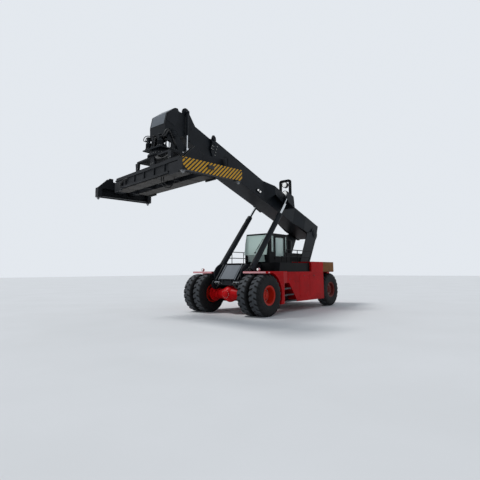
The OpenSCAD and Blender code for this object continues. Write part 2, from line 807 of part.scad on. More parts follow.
// The driver's seat, the floor console and the steering column
module cab_interior() {
  floor_z = cab_floor + cab_wall;
  seat_x = cab_back_x + 420;
  color("#2b2d30") {
    span_box([seat_x - 180, -180, floor_z], [seat_x + 180, 180, floor_z + 330]);
    span_box([seat_x - 250, -260, floor_z + 330], [seat_x + 260, 260, floor_z + 460]);
    translate([seat_x - 190, -250, floor_z + 440]) rotate([0, -8, 0]) cube([110, 500, 620]);
    span_box([cab_front_x - 430, -110, floor_z], [cab_front_x - 230, 110, floor_z + 40]);
    translate([cab_front_x - 330, 0, floor_z + 20]) rotate([0, -12, 0]) {
      cylinder(r = 55, h = 600);
      translate([0, 0, 580]) rotate_extrude($fn = 48) translate([190, 0]) circle(r = 16, $fn = 16);
      translate([-190, -22, 570]) cube([380, 44, 20]);
    }
    span_box([seat_x - 100, -440, floor_z], [seat_x + 420, -290, floor_z + 560]);
  }
}

rail_r = 19;
rail_top = deck_top + 570;
rail_x0 = weight_front_x + 90;
rail_x1 = cab_front_x + 60;

// A length of handrail tube between two points
module rail(a, b) {
  d = b - a;
  translate(a) rotate([0, acos(d[2] / norm(d)), atan2(d[1], d[0])]) cylinder(r = rail_r, h = norm(d), $fn = 24);
}

module handrails() {
  y = deck_y - 50;
  tip_x = rail_x0 - 450;
  lean = (rail_x0 - tip_x) / (rail_top - deck_top);
  color("#23282e") both_sides() {
    rail([rail_x1, y, rail_top], [tip_x, y, rail_top]);
    rail([rail_x1, y, rail_top - 300], [rail_x0 - lean * (rail_top - 300 - deck_top) + 9, y, rail_top - 300]);
    for (x = [rail_x1, (rail_x0 + rail_x1) / 2]) rail([x, y, deck_top], [x, y, rail_top]);
    // The rearmost post leans back over the counterweight's side
    difference() {
      rail([rail_x0 + 30 * lean, y, deck_top - 30], [tip_x, y, rail_top]);
      span_box([rail_x0 - 100, y - 50, deck_top - 100], [rail_x0 + 100, y + 50, deck_top]);
    }
    for (x = [tip_x, rail_x1]) translate([x, y, rail_top]) sphere(r = rail_r + 3, $fn = 24);
    // A slanted rail beside the steps
    rail([rail_x1 + 380, y, deck_top], [rail_x1 + 380, y, deck_top + 260]);
    rail([rail_x1 + 380, y, deck_top + 260], [rail_x1, y, deck_top + 260]);
    translate([rail_x1 + 380, y, deck_top + 260]) sphere(r = rail_r + 3, $fn = 24);
  }
}

/* Boom */

// Side outline of the outer boom, along and above its pivot line
boom_outline = [
  [-boom_tail, boom_top], [-boom_tail + 120, boom_top - 340], [-240, boom_low],
  [boom_len - 400, boom_low], [boom_len, boom_low + 420], [boom_len, boom_top]
];
wing_in = lift_y - barrel_r - 15 - 30;
wing_out = lift_y + barrel_r + 20;
wing_t = 30;

// The wing's rear plate leans, and leaves room for the eye, which moves back as the boom lifts
wing_room = 14;
wing_rake = 260;

// One wing of the outer boom, open to the front round the lift cylinder's eye
module boom_wing() {
  back = lift_eye_u - eye_r - wing_room;
  fork = [
    [back - wing_rake, boom_low + 340], [back, boom_top - 30], [lift_eye_u + 290, boom_top - 30],
    [lift_eye_u + 420, lift_eye_v - 140], [lift_eye_u + 160, boom_low + 380]
  ];
  // The gusset narrows from the boom's web to the fork's inner plate
  hull() {
    side_plate([[4400, boom_low + 40], [4848, boom_top], [4700, boom_top]], boom_half - 10, boom_half);
    side_plate([[lift_eye_u + 850, lift_eye_v - 250], [lift_eye_u + 1030, boom_top - 20],
      [lift_eye_u + 900, boom_top - 20]], wing_in, wing_in + wing_t);
  }
  side_plate([[back - wing_rake, boom_low + 340], [back, boom_top - 30],
    [lift_eye_u + 1000, boom_top - 30], [lift_eye_u + 860, lift_eye_v - 240],
    [lift_eye_u + 160, boom_low + 380]], wing_in, wing_in + wing_t);
  side_plate(fork, wing_out, wing_out + wing_t);
  side_plate([[back - wing_rake, boom_low + 340], [back, boom_top - 30], [back - wing_t, boom_top - 30],
    [back - wing_rake - wing_t, boom_low + 340]], boom_half - 10, wing_out + wing_t);
  side_plate([[back - wing_t, boom_top - 50], [lift_eye_u + 1030, boom_top - 50],
    [lift_eye_u + 1030, boom_top - 20], [back - wing_t, boom_top - 20]], boom_half - 10, wing_in + wing_t);
}

flare_t = 30;

// The boom's tail widens towards its pivot, with a plate outside, behind and on top
module tail_flare() {
  translate([0, 0, boom_low]) difference() {
    linear_extrude(boom_h - 110)
      polygon([[1900, boom_half - 1], [1000, flare_y], [-350, flare_y], [-350, boom_half - 1]]);
    translate([0, 0, -1]) linear_extrude(boom_h - 110 - flare_t + 1)
      polygon([[1700, boom_half - 2], [1000 - flare_t, flare_y - flare_t], [-350 + flare_t, flare_y - flare_t],
        [-350 + flare_t, boom_half - 2]]);
  }
}

module outer_boom() {
  pad = 60;
  color("#23282e") on_boom() difference() {
    union() {
      difference() {
        union() {
          side_plate(boom_outline, -boom_half, boom_half);
          side_plate([[boom_len - 150, boom_low + 420], [boom_len, boom_low + 420], [boom_len, boom_top + 35],
            [boom_len - 150, boom_top + 35]], -boom_half - 35, boom_half + 35);
        }
        span_box([-boom_tail + 220, -boom_half + boom_t, boom_low + boom_t],
          [boom_len + 1, boom_half - boom_t, boom_top - boom_t]);
      }
      // Wear pads that carry the inner boom at the front
      both_sides() span_box([boom_len - 400, inner_half + run_gap, boom_low + 500],
        [boom_len - 100, boom_half - boom_t, boom_top - 120]);
      both_sides() span_box([boom_len - 400, inner_half - 240, inner_top + run_gap],
        [boom_len - 100, inner_half - 60, boom_top - boom_t]);
      both_sides() span_box([boom_len - 800, inner_half - 240, boom_low + boom_t],
        [boom_len - 450, inner_half - 60, inner_low - run_gap]);
      bar_y(170, -flare_y, flare_y);
      bar_y(boom_pin_r, -frame_out - pad, frame_out + pad);
      both_sides() tail_flare();
      both_sides() boom_wing();
    }
  }
}

// A rectangle with round corners
module round_square(x0, x1, y0, y1, r) {
  translate([x0 + r, y0]) square([x1 - x0 - 2 * r, y1 - y0]);
  translate([x0, y0 + r]) square([x1 - x0, y1 - y0 - 2 * r]);
  for (x = [x0 + r, x1 - r], y = [y0 + r, y1 - r]) translate([x, y]) circle(r = r);
}

// The work lamps over the outer boom, one above the other in an upright guard on a wedge
module boom_lamps() {
  u = lift_eye_u - 430;
  depth = 80;
  wedge = 30 + depth * tan(boom_angle);
  y0 = 120;
  y1 = 790;
  h = 960;
  color("#23282e") on_boom() {
    side_plate([[u, boom_top], [u + depth, boom_top], [u + depth * pow(cos(boom_angle), 2), boom_top + 30 +
      depth * sin(boom_angle) * sin(boom_angle) * tan(boom_angle)], [u, boom_top + wedge]], y0 + 60, boom_half);
    translate([u, 0, boom_top + wedge]) rotate([0, boom_angle, 0]) {
      rotate([90, 0, 90]) linear_extrude(depth * cos(boom_angle)) difference() {
        round_square(y0, y1, 0, h, 130);
        round_square(y0 + 50, y1 - 50, 50, h - 50, 90);
      }
      // Each lamp hangs from a bar across the guard
      for (z = [h * 0.27, h * 0.73]) translate([0, 0, z]) {
        span_box([20, y0 + 40, -15], [50, y1 - 40, 15]);
        translate([0, (y0 + y1) / 2, 0]) bar_x(150, -30, 110);
      }
    }
  }
}

nose_start = 9470;

// Side outline of the boom's nose plates, along and above the pivot line, without the lug for the tilt pin
nose_outline = [
  [nose_start, inner_low + 30], [nose_start, inner_top - 20], [head_u + tilt_u - 170, head_v + tilt_v + 60],
  [head_u - 80, head_v + 1010], [10380, 690], [10450, 760], [10560, 720], [10830, 300], [10780, -140], [10610, -580],
  [10200, -560], [9900, inner_low]
];
lug_r = 185;

module inner_boom() {
  nose_in = inner_half;
  cover = [[10450, 760], [10560, 720], [10830, 300], [10780, -140], [10610, -580], [10570, -570], [10740, -135],
    [10788, 290], [10540, 685], [10445, 715]];
  // A lighter doubler plate stiffens the nose above the yoke
  doubler = [[10340, 20], [10300, 400], [10380, 690], [10450, 750], [10550, 712], [10815, 300], [10775, 20]];
  color("#23282e") on_boom() difference() {
    union() {
      difference() {
        span_box([inner_start, -inner_half, inner_low], [9760, inner_half, inner_top]);
        span_box([inner_start - 1, -inner_half + boom_t, inner_low + boom_t],
          [9740, inner_half - boom_t, inner_top - boom_t]);
      }
      both_sides() {
        side_plate(nose_outline, nose_in, nose_out);
        side_plate(doubler, nose_out - 1, nose_out + 6);
        translate([head_u, 0, head_v]) bar_y(200, nose_in - 80, nose_out);
        translate([head_u + tilt_u, 0, head_v + tilt_v]) {
          bar_y(lug_r, nose_in, nose_out);
          bar_y(30, nose_in, tilt_y + 40);
          bar_y(75, nose_in, tilt_y - 40 - free_gap);
        }
        // Wear pads at the rear, inside the outer boom
        span_box([inner_start, inner_half - 1, -60], [inner_start + 300, boom_half - boom_t - run_gap, 560]);
        span_box([inner_start, 160, inner_top - 1], [inner_start + 300, 340, boom_top - boom_t - run_gap]);
        span_box([inner_start, 160, boom_low + boom_t + run_gap], [inner_start + 300, 340, inner_low + 1]);
      }
      side_plate(cover, -nose_in - 1, nose_in + 1);
      // Cross tubes tie the two nose plates together
      translate([10240, 0, 420]) bar_y(60, -nose_in - 1, nose_in + 1);
    }
    translate([head_u, 0, head_v]) bar_y(head_pin_r + run_gap, -nose_out - 10, nose_out + 10);
  }
}

/* Lift cylinders */

lift_bore_start = 250;

module place_lift() {
  translate([lift_foot_x, 0, lift_foot_z]) rotate([0, -lift_lean, 0]) children();
}

module lift_barrels() {
  color("#2b3036") both_sides() place_lift() difference() {
    union() {
      translate([0, lift_y, 0]) bar_x(barrel_r, 260, barrel_len - 60);
      translate([0, lift_y, 0]) bar_x(barrel_r - 5, barrel_len - 60, barrel_len);
      bar_y(eye_r, nose_box_y + free_gap, foot_ear_out - free_gap);
      span_box([0, nose_box_y + free_gap, -90], [280, foot_ear_out - free_gap, 90]);
    }
    bar_y(lift_pin_r + run_gap, nose_box_y, foot_ear_out);
    translate([0, lift_y, 0]) bar_x(rod_r + run_gap, lift_bore_start, barrel_len + 1);
  }
}

module lift_rods() {
  color("#c8ccd0") both_sides() place_lift() {
    translate([0, lift_y, 0]) bar_x(rod_r, lift_bore_start + 1050, lift_len);
    translate([lift_len, 0, 0]) bar_y(eye_r, lift_y - 80, lift_y + 80);
    translate([lift_len, 0, 0]) bar_y(lift_pin_r, lift_y - 120, lift_y + 120);
  }
}

/* Boom head */

tilt_barrel_len = 920;
tilt_bore_start = 150;

module place_tilt() {
  translate([tilt_top_x, 0, tilt_top_z]) rotate([0, -tilt_lean, 0]) children();
}

module tilt_barrels() {
  color("#2b3036") both_sides() place_tilt() difference() {
    union() {
      translate([0, tilt_y, 0]) bar_x(tilt_r, 80, tilt_barrel_len);
      bar_y(60, tilt_y - 40, tilt_y + 40);
      span_box([0, tilt_y - 40, -35], [100, tilt_y + 40, 35]);
    }
    bar_y(30 + run_gap, 0, tilt_y + 50);
    translate([0, tilt_y, 0]) bar_x(25 + run_gap, tilt_bore_start, tilt_barrel_len + 1);
  }
}

module tilt_rods() {
  color("#c8ccd0") both_sides() place_tilt() {
    translate([0, tilt_y, 0]) bar_x(25, tilt_bore_start + 480, tilt_len);
    translate([tilt_len, 0, 0]) bar_y(55, tilt_y - 35, tilt_y + 35);
  }
}

base_drop = 600;
base_r = 520;
slew_drop = 640;
ring_low = 700;

// The yoke hangs level from the head pin and carries the slewing ring
module head_yoke() {
  cheek = [
    [tilt_eye_x - 60, tilt_eye_z - 60], [tilt_eye_x - 60, tilt_eye_z + 60], [-230, -60], [-170, 170], [170, 170],
    [260, -100], [420, -base_drop], [420, -slew_drop], [-420, -slew_drop], [-420, -base_drop]
  ];
  color("#23282e") on_head() {
    both_sides() {
      // Each side plate is a loop round an oval opening
      difference() {
        side_plate(cheek, cheek_in, cheek_out);
        for (z = [-400, -500]) translate([230, 0, z]) bar_y(95, cheek_in - 1, cheek_out + 1);
        span_box([135, cheek_in - 1, -500], [325, cheek_out + 1, -400]);
      }
      bar_y(170, cheek_in, cheek_out + 45);
      translate([-170, 0, -480]) bar_y(75, cheek_in, cheek_out + 40);
    }
    bar_y(head_pin_r, -cheek_out, cheek_out);
    translate([0, 0, -slew_drop]) cylinder(r = base_r, h = slew_drop - base_drop);
    span_box([0, -base_r, -slew_drop], [640, base_r, -base_drop]);
    translate([0, 0, -ring_low]) cylinder(r = base_r - 20, h = ring_low - slew_drop);
    for (y = [-330, 0, 330]) translate([520, y, -base_drop]) {
      cylinder(r = 125, h = 40);
      cylinder(r = 95, h = 260);
      cylinder(r = 70, h = 430);
    }
  }
}

carrier_drop = 870;
flange_r = 650;
flange_t = 70;
post_half_w = 500;

// Half the length of the side-shift rails, which end under the outer posts
rail_half = 1170;

// The rotator turns under the slewing ring and carries the side-shift rails
module rotator() {
  color("#23282e") on_rotator() {
    translate([0, 0, -carrier_drop]) cylinder(r = 560, h = carrier_drop - ring_low - run_gap);
    translate([0, 0, -carrier_drop]) cylinder(r = flange_r, h = flange_t);
    span_box([-post_half_w - 45, -rail_half + 60, -carrier_drop - 60], [post_half_w + 45, rail_half - 60, -carrier_drop]);
    for (w = [-1, 1]) {
      // Broad posts, wider at the foot
      for (s = [60 - rail_half, 0, rail_half - 60])
        translate([w * post_half_w - 45, s, 0]) rotate([90, 0, 90]) linear_extrude(90)
          polygon([[-110, -carrier_drop - 60], [110, -carrier_drop - 60], [180 - abs(s) / 9, -girder_drop + 60],
            [abs(s) / 9 - 180, -girder_drop + 60]]);
      span_box([w * post_half_w - 60, -rail_half, -girder_drop + run_gap],
        [w * post_half_w + 60, rail_half, -girder_drop + 70]);
    }
  }
}

/* Spreader */

cell_gap = 5;
rib_w = 30;
cell_w = (girder_half_w - girder_slot - 2 * girder_t - rib_w) / 2;
inner_cell = girder_slot + girder_t;
outer_cell = inner_cell + cell_w + rib_w;
cell_low = -girder_drop - girder_h + girder_t;
cell_top = -girder_drop - girder_t;

// The spreader's frame: two girders with a cell for each telescopic beam
module spreader_frame() {
  color("#2a2f35") on_spreader() {
    mirrored_w() girder_flanges();
    difference() {
      both_girders();
      for (w = [inner_cell, outer_cell])
        mirrored_w() span_box([w, -girder_half_len - 1, cell_low], [w + cell_w, girder_half_len + 1, cell_top]);
    }
    for (s = [-girder_half_len, -900, 0, 900, girder_half_len - 30])
      span_box([-girder_slot - 1, s, -girder_drop - girder_h], [girder_slot + 1, s + 30, -girder_drop - 40]);
  }
}

module mirrored_w() {
  children();
  mirror([1, 0, 0]) children();
}

module both_girders() {
  mirrored_w() span_box([girder_slot, -girder_half_len, -girder_drop - girder_h],
    [girder_half_w, girder_half_len, -girder_drop]);
}

// Flanges along a girder's outer side, with stiffeners between them and a box at each end,
// as [from, to] along the girder
module girder_flanges() {
  low = -girder_drop - girder_h;
  box_len = 560;
  span_box([girder_half_w - 1, -girder_half_len, -girder_drop - 140],
    [girder_half_w + 40, girder_half_len, -girder_drop - 90]);
  span_box([girder_half_w - 1, box_len - girder_half_len, low + 20],
    [girder_half_w + 80, girder_half_len - box_len, low + 80]);
  for (s = [-1350, -680, 0, 680, 1350])
    span_box([girder_half_w - 1, s - 15, low + 80], [girder_half_w + 40, s + 15, -girder_drop - 140]);
  for (s = [-girder_half_len, girder_half_len - box_len])
    span_box([girder_half_w - 1, s, low - 60], [girder_half_w + 50, s + box_len, -girder_drop - 180]);
}

spreader_half = spreader_len / 2;
beam_back = 2000;
beam_t = 20;

// Height of the upstands on an end beam
upstand = 420;

// An end beam with its two telescopic beams, drawn for the left end
module end_beam(cell) {
  top = -end_beam_drop;
  low = top - end_beam_h;
  half = end_beam_w / 2;
  s0 = spreader_half - end_beam_t;
  // The striped face is cut off at its lower corners
  translate([0, spreader_half, 0]) rotate([90, 0, 0]) linear_extrude(beam_t)
    polygon([[-half, top], [half, top], [half, low + 150], [half - 180, low], [-half + 60, low], [-half, low + 60]]);
  span_box([-half, s0, top - beam_t], [half, spreader_half - 1, top]);
  span_box([200 - half, s0, low + 30], [half - 200, spreader_half - 1, low + 30 + beam_t]);
  mirrored_w() {
    // The housing of a twistlock
    span_box([lock_pitch_x / 2 - 85, s0, low], [half - 5, spreader_half - 1, top]);
    difference() {
      span_box([cell + cell_gap, -beam_back, cell_low + run_gap],
        [cell + cell_w - cell_gap, spreader_half - beam_t + 1, cell_top - cell_gap]);
      span_box([cell + cell_gap + beam_t, -beam_back - 1, cell_low + run_gap + beam_t],
        [cell + cell_w - cell_gap - beam_t, s0, cell_top - cell_gap - beam_t]);
    }
    // A sloped upstand guides the container's corner under the end beam
    for (s = [s0, spreader_half - 21])
      translate([0, s + 20, 0]) rotate([90, 0, 0]) linear_extrude(20)
        polygon([[half - 40, top - 1], [girder_half_w + 10, top + upstand], [girder_half_w - 150, top + upstand],
          [girder_half_w - 150, top - 1]]);
  }
  span_box([-girder_half_w, s0, top - 1], [girder_half_w, s0 + 60, cell_top - cell_gap]);
}

module left_end_beam() {
  color("#2a2f35") on_spreader() end_beam(outer_cell);
}

module right_end_beam() {
  color("#2a2f35") on_spreader() mirror([0, 1, 0]) end_beam(inner_cell);
}

// The pair of twistlocks under one end beam
module twistlocks() {
  low = -end_beam_drop - end_beam_h;
  for (w = [-1, 1])
    translate([w * lock_pitch_x / 2, spreader_half - lock_inset, low]) {
      translate([0, 0, -30]) linear_extrude(30) square([120, 90], center = true);
      translate([0, 0, -60]) cylinder(r = 28, h = 40);
      translate([0, 0, -75]) linear_extrude(25) square([100, 52], center = true);
      translate([0, 0, -105]) cylinder(r1 = 14, r2 = 26, h = 30, $fn = 32);
    }
}

module left_twistlocks() {
  color("#9aa0a6") on_spreader() twistlocks();
}

module right_twistlocks() {
  color("#9aa0a6") on_spreader() mirror([0, 1, 0]) twistlocks();
}

frame_left();
frame_right();
frame_front();
frame_rear();
engine_block();
engine_hood();
walkways();
left_side_tank();
right_side_tank();
fenders();
front_markers();
counterweight();
counterweight_ends();
drive_axle();
steer_axle();
cab_body();
cab_glass();
cab_door();
door_glass();
cab_interior();
handrails();
front_left_tyres();
front_left_rims();
front_right_tyres();
front_right_rims();
left_knuckle();
right_knuckle();
rear_left_tyre();
rear_left_rim();
rear_right_tyre();
rear_right_rim();
outer_boom();
boom_lamps();
inner_boom();
lift_barrels();
lift_rods();
tilt_barrels();
tilt_rods();
head_yoke();
rotator();
spreader_frame();
left_end_beam();
right_end_beam();
left_twistlocks();
right_twistlocks();
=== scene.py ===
# %% [markdown]
# A reach stacker lifts freight containers with a telescopic boom. Its solids come
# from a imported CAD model, and this script gives them their finish and adds the
# small things that a yard machine shows: tread, bolts, hoses, stripes and lamps.
# Everything is in metres. X points forwards, Y to the left and Z up.

# %% Load the model
import json
import math

import bmesh
import bpy
from mathutils import Matrix, Vector


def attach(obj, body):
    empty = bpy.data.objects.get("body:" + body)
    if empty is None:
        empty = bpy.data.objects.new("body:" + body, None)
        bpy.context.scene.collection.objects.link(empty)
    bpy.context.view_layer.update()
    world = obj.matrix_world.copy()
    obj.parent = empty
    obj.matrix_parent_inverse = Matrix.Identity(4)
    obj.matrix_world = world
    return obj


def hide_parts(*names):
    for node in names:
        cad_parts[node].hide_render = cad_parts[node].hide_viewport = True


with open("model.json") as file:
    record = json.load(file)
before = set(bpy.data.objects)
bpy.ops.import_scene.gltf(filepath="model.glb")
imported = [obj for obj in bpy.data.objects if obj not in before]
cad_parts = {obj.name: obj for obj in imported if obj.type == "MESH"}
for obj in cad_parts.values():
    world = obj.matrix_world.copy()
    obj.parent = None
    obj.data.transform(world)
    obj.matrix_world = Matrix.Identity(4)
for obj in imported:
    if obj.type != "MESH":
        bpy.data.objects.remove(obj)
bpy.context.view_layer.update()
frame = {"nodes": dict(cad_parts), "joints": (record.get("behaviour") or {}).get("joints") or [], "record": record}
nodes = frame["nodes"]
joints = {joint["name"]: joint for joint in frame["joints"]}
slots = {part["node"]: part["material_slot"] for part in frame["record"]["subparts"]}

# %% [markdown]
# The camera comes first, because every later choice is judged through it. The
# picture was taken from ahead and to the left of the machine, with the lens at
# eye height and tilted up a little. The place was found by fitting known sizes,
# and the shift sets what is in the picture's middle without turning the camera.

# %% The camera
CAMERA_PLACE = Vector((12.590, 11.097, 1.780))
CAMERA_YAW = math.radians(-140.08)
CAMERA_PITCH = math.radians(8.40)
CAMERA_ROLL = math.radians(-0.26)
FOCAL_LENGTH = 29.10  # millimetres, on a sensor 36 mm wide
SHIFT_DOWN = -0.0552
SIGHT = 300  # metres

camera_data = bpy.data.cameras.new("camera")
camera_data.lens = FOCAL_LENGTH
camera_data.sensor_width = 36
camera_data.shift_y = SHIFT_DOWN
camera_data.clip_end = SIGHT
camera = bpy.data.objects.new("camera", camera_data)
bpy.context.scene.collection.objects.link(camera)
camera.matrix_world = (
    Matrix.Translation(CAMERA_PLACE)
    @ Matrix.Rotation(CAMERA_YAW - math.pi / 2, 4, "Z")
    @ Matrix.Rotation(math.pi / 2 + CAMERA_PITCH, 4, "X")
    @ Matrix.Rotation(CAMERA_ROLL, 4, "Z")
)
bpy.context.scene.camera = camera
print("camera at", tuple(CAMERA_PLACE))

# %% [markdown]
# Colours are written as the hex values that a screen shows. The renderer works
# with linear light, so one function turns the first into the second. A shader
# node takes either a plain value or a link from another node at each of its
# inputs, and one function wires up both kinds, so that a material reads as a
# list of what goes into what.

# %% Helpers for colours and shader nodes
def shade(hex_code):
    channels = [int(hex_code[i:i + 2], 16) / 255 for i in (1, 3, 5)]
    linear = [c / 12.92 if c <= 0.04045 else ((c + 0.055) / 1.055) ** 2.4 for c in channels]
    return (*linear, 1.0)


def wire(tree, node, inputs):
    """Link each input that is given a socket, and set each that is given a value."""
    for name, value in inputs.items():
        if isinstance(value, bpy.types.NodeSocket):
            tree.links.new(value, node.inputs[name])
        else:
            node.inputs[name].default_value = value


def add(tree, kind, inputs=None, **settings):
    node = tree.nodes.new(kind)
    for name, value in settings.items():
        setattr(node, name, value)
    wire(tree, node, inputs or {})
    return node


def new_material(name):
    material = bpy.data.materials.new(name)
    material.use_nodes = True
    tree = material.node_tree
    tree.nodes.clear()
    surface = add(tree, "ShaderNodeBsdfPrincipled")
    add(tree, "ShaderNodeOutputMaterial", {"Surface": surface.outputs["BSDF"]})
    place = add(tree, "ShaderNodeTexCoord").outputs["Object"]
    return material, tree, surface, place


# %% [markdown]
# A few kinds of node come back in nearly every finish: a noise that clouds it, a
# range that picks part of the noise, a blend of two colours and a bump. Each has
# a short name here, and gives back its output, ready to be wired on.

# %% Helpers for patterns
def noise(tree, place, scale, detail, roughness=0.5):
    settings = {"Vector": place, "Scale": scale, "Detail": detail, "Roughness": roughness}
    return add(tree, "ShaderNodeTexNoise", settings).outputs[0]


def cells(tree, place, scale, **settings):
    return add(tree, "ShaderNodeTexVoronoi", {"Vector": place, "Scale": scale}, **settings).outputs["Distance"]


def calculate(tree, operation, first, second=0.0):
    return add(tree, "ShaderNodeMath", {0: first, 1: second}, operation=operation).outputs[0]


def between(tree, value, low, high):
    """A value turned into 0 at low and 1 at high."""
    return add(tree, "ShaderNodeMapRange", {"Value": value, "From Min": low, "From Max": high}).outputs[0]


def stretched(tree, value, low, high):
    """A value from 0 to 1, turned into low at 0 and high at 1."""
    return add(tree, "ShaderNodeMapRange", {"Value": value, "To Min": low, "To Max": high}).outputs[0]


def bump(tree, height, strength, distance):
    settings = {"Height": height, "Strength": strength, "Distance": distance}
    return add(tree, "ShaderNodeBump", settings).outputs[0]


def part_of(tree, vector, axis):
    return add(tree, "ShaderNodeSeparateXYZ", {"Vector": vector}).outputs[axis]


def blend_colours(tree, factor, first, second):
    """Colours may be hex codes or the output of another blend."""
    mix = add(tree, "ShaderNodeMix", data_type="RGBA")
    colours = [shade(colour) if isinstance(colour, str) else colour for colour in (first, second)]
    wire(tree, mix, {"Factor": factor, 6: colours[0], 7: colours[1]})
    return mix.outputs[2]


# %% [markdown]
# The machine stands on a pale floor under a pale sky, as in a catalogue. The floor
# is one wide sheet of cloudy concrete, which takes the shadow. A backdrop that
# curves upwards would do too, but this sheet is so wide that the camera takes its
# edge for the horizon.

# %% The floor
FLOOR_HALF = 120


def pale_floor():
    material, tree, surface, place = new_material("pale_concrete_floor")
    cloud = noise(tree, place, 0.35, 4.0)
    wire(tree, surface, {"Base Color": blend_colours(tree, cloud, "#cfd0d0", "#dadbdc"), "Roughness": 0.9})
    return material


floor_mesh = bpy.data.meshes.new("floor")
sheet = bmesh.new()
bmesh.ops.create_grid(sheet, x_segments=1, y_segments=1, size=FLOOR_HALF)
sheet.to_mesh(floor_mesh)
sheet.free()
floor_mesh.materials.append(pale_floor())
floor = bpy.data.objects.new("floor", floor_mesh)
bpy.context.scene.collection.objects.link(floor)
print("floor:", 2 * FLOOR_HALF, "m wide")

# %% [markdown]
# The sky is nearly white for the camera, for reflections and through glass, and
# weaker as a light, so that a colour renders about as it is written. One broad sun
# gives the floor its shadow and the boom its darker underside.

# %% Sky and sun
SKY_LIGHT, SKY_SEEN = 0.62, 0.95
SUN_LIGHT = 1.7
SUN_WIDTH = math.radians(14)  # a hazy sun is wider than a clear one
SUN_TURN = [math.radians(angle) for angle in (28, -14, 60)]

world = bpy.data.worlds.new("studio")
bpy.context.scene.world = world
world.use_nodes = True
sky_tree = world.node_tree
sky_tree.nodes.clear()
rays = add(sky_tree, "ShaderNodeLightPath").outputs
seen = calculate(sky_tree, "MAXIMUM", rays["Is Camera Ray"], rays["Is Transmission Ray"])
seen = calculate(sky_tree, "MAXIMUM", seen, rays["Is Glossy Ray"])
soft_sky = add(sky_tree, "ShaderNodeBackground", {"Color": shade("#e3ebf5"), "Strength": SKY_LIGHT})
seen_sky = add(sky_tree, "ShaderNodeBackground", {"Color": shade("#e9eef4"), "Strength": SKY_SEEN})
sky = add(sky_tree, "ShaderNodeMixShader", {0: seen, 1: soft_sky.outputs[0], 2: seen_sky.outputs[0]})
add(sky_tree, "ShaderNodeOutputWorld", {"Surface": sky.outputs[0]})

sun_data = bpy.data.lights.new("sun", "SUN")
sun_data.energy = SUN_LIGHT
sun_data.angle = SUN_WIDTH
sun = bpy.data.objects.new("sun", sun_data)
sun.rotation_euler = SUN_TURN
bpy.context.scene.collection.objects.link(sun)
bpy.context.scene.view_settings.view_transform = "Standard"
print("sky", SKY_LIGHT, "sun", SUN_LIGHT)

# %% [markdown]
# Paint on a machine is sprayed over steel plate, so it has a slight orange peel
# and a satin shine. It clouds a little, dust settles on what faces up, and the
# yard's dirt is thrown against what is near the ground. Photographed paint would
# show its seams on so many parts, so noise does it, laid through the whole space.
# One function makes every colour of it: shine is how rough the paint is, dust and
# dirt say how much of each shows at most, and gleam is how much sky it mirrors.

# %% The recipe for paint
ORANGE_PEEL = 220.0  # about 4.5 mm between the bumps, so coarse that it shows
DUST, DIRT = "#8d8a83", "#4d443c"
DIRT_TOP, DIRT_FULL = 1.5, 0.25  # metres above the ground


def sprayed_paint(name, colour, darker, shine=0.38, dust=0.35, dirt=0.0, gleam=0.14):
    material, tree, surface, place = new_material(name)
    cloud = between(tree, noise(tree, place, 1.1, 6.0, 0.62), 0.35, 0.68)
    paint = blend_colours(tree, cloud, darker, colour)
    patch = noise(tree, place, 3.2, 8.0, 0.7)
    upwards = part_of(tree, add(tree, "ShaderNodeNewGeometry").outputs["Normal"], "Z")
    dusty = calculate(tree, "MULTIPLY", between(tree, upwards, 0.55, 1.0), between(tree, patch, 0.3, 0.75))
    paint = blend_colours(tree, calculate(tree, "MULTIPLY", dusty, dust), paint, DUST)
    if dirt:
        low = between(tree, part_of(tree, place, "Z"), DIRT_TOP, DIRT_FULL)
        splash = calculate(tree, "MULTIPLY", low, between(tree, patch, 0.42, 0.8))
        paint = blend_colours(tree, calculate(tree, "MULTIPLY", splash, dirt), paint, DIRT)
    wire(tree, surface, {
        "Base Color": paint,
        "Roughness": stretched(tree, patch, shine - 0.06, shine + 0.14),
        "Normal": bump(tree, noise(tree, place, ORANGE_PEEL, 1.0), 0.12, 0.0006),
        "Specular IOR Level": gleam,
    })
    return material


# %% [markdown]
# The boom and the head are slate grey, the cab and decks black and the body a strong
# red. A darker copy of the red is painted shade on the steered axle under the machine
# and on the side bodies' screws. A darker copy of the rim paint is painted shade on
# the rear wheels, and light grey is painted highlight on faces that look up. Each paint
# has a second, darker tone for its clouds. The counterweight's end blocks keep the
# ochre primer of the foundry.

# %% The paints
slate_paint = sprayed_paint("slate_grey_machine_paint", "#181d23", "#0f1317", 0.42, 0.12)
frame_paint = sprayed_paint("slate_grey_chassis_paint", "#22262b", "#181b1f", 0.46, 0.2, dirt=0.5)
black_paint = sprayed_paint("black_cab_and_deck_paint", "#090c10", "#060708", 0.4, 0.1, gleam=0.08)
charcoal_paint = sprayed_paint("charcoal_spreader_paint", "#222428", "#17191c", 0.48, 0.2)
red_paint = sprayed_paint("signal_red_machine_paint", "#bb0610", "#9c050c", 0.3, 0.06, 0.12, 0.05)
axle_paint = sprayed_paint("signal_red_axle_paint", "#cf0c14", "#ab0910", 0.32, 0.08, 0.15, 0.1)
# A darker copy of the red: painted shade on the steered axle and the side bodies' screws.
shaded_paint = sprayed_paint("red_paint_darkened_for_painted_shade", "#6a0a0f", "#4c070b", 0.4, 0.1, 0.5)
rim_paint = sprayed_paint("orange_red_rim_paint", "#c32a17", "#a52012", 0.3, 0.05)
# A darker copy of the rim paint: painted shade on the rear wheels under the counterweight.
shaded_rim_paint = sprayed_paint("rim_paint_darkened_for_painted_shade", "#6b1a12", "#4d130e", 0.45, 0.1, 0.5)
ochre_paint = sprayed_paint("ochre_primer_on_cast_iron", "#7d4f20", "#5f3b16", 0.5, 0.15)
tread_paint = sprayed_paint("scuffed_grey_tread_paint", "#4a4d51", "#3a3d40", 0.45, 0.1)
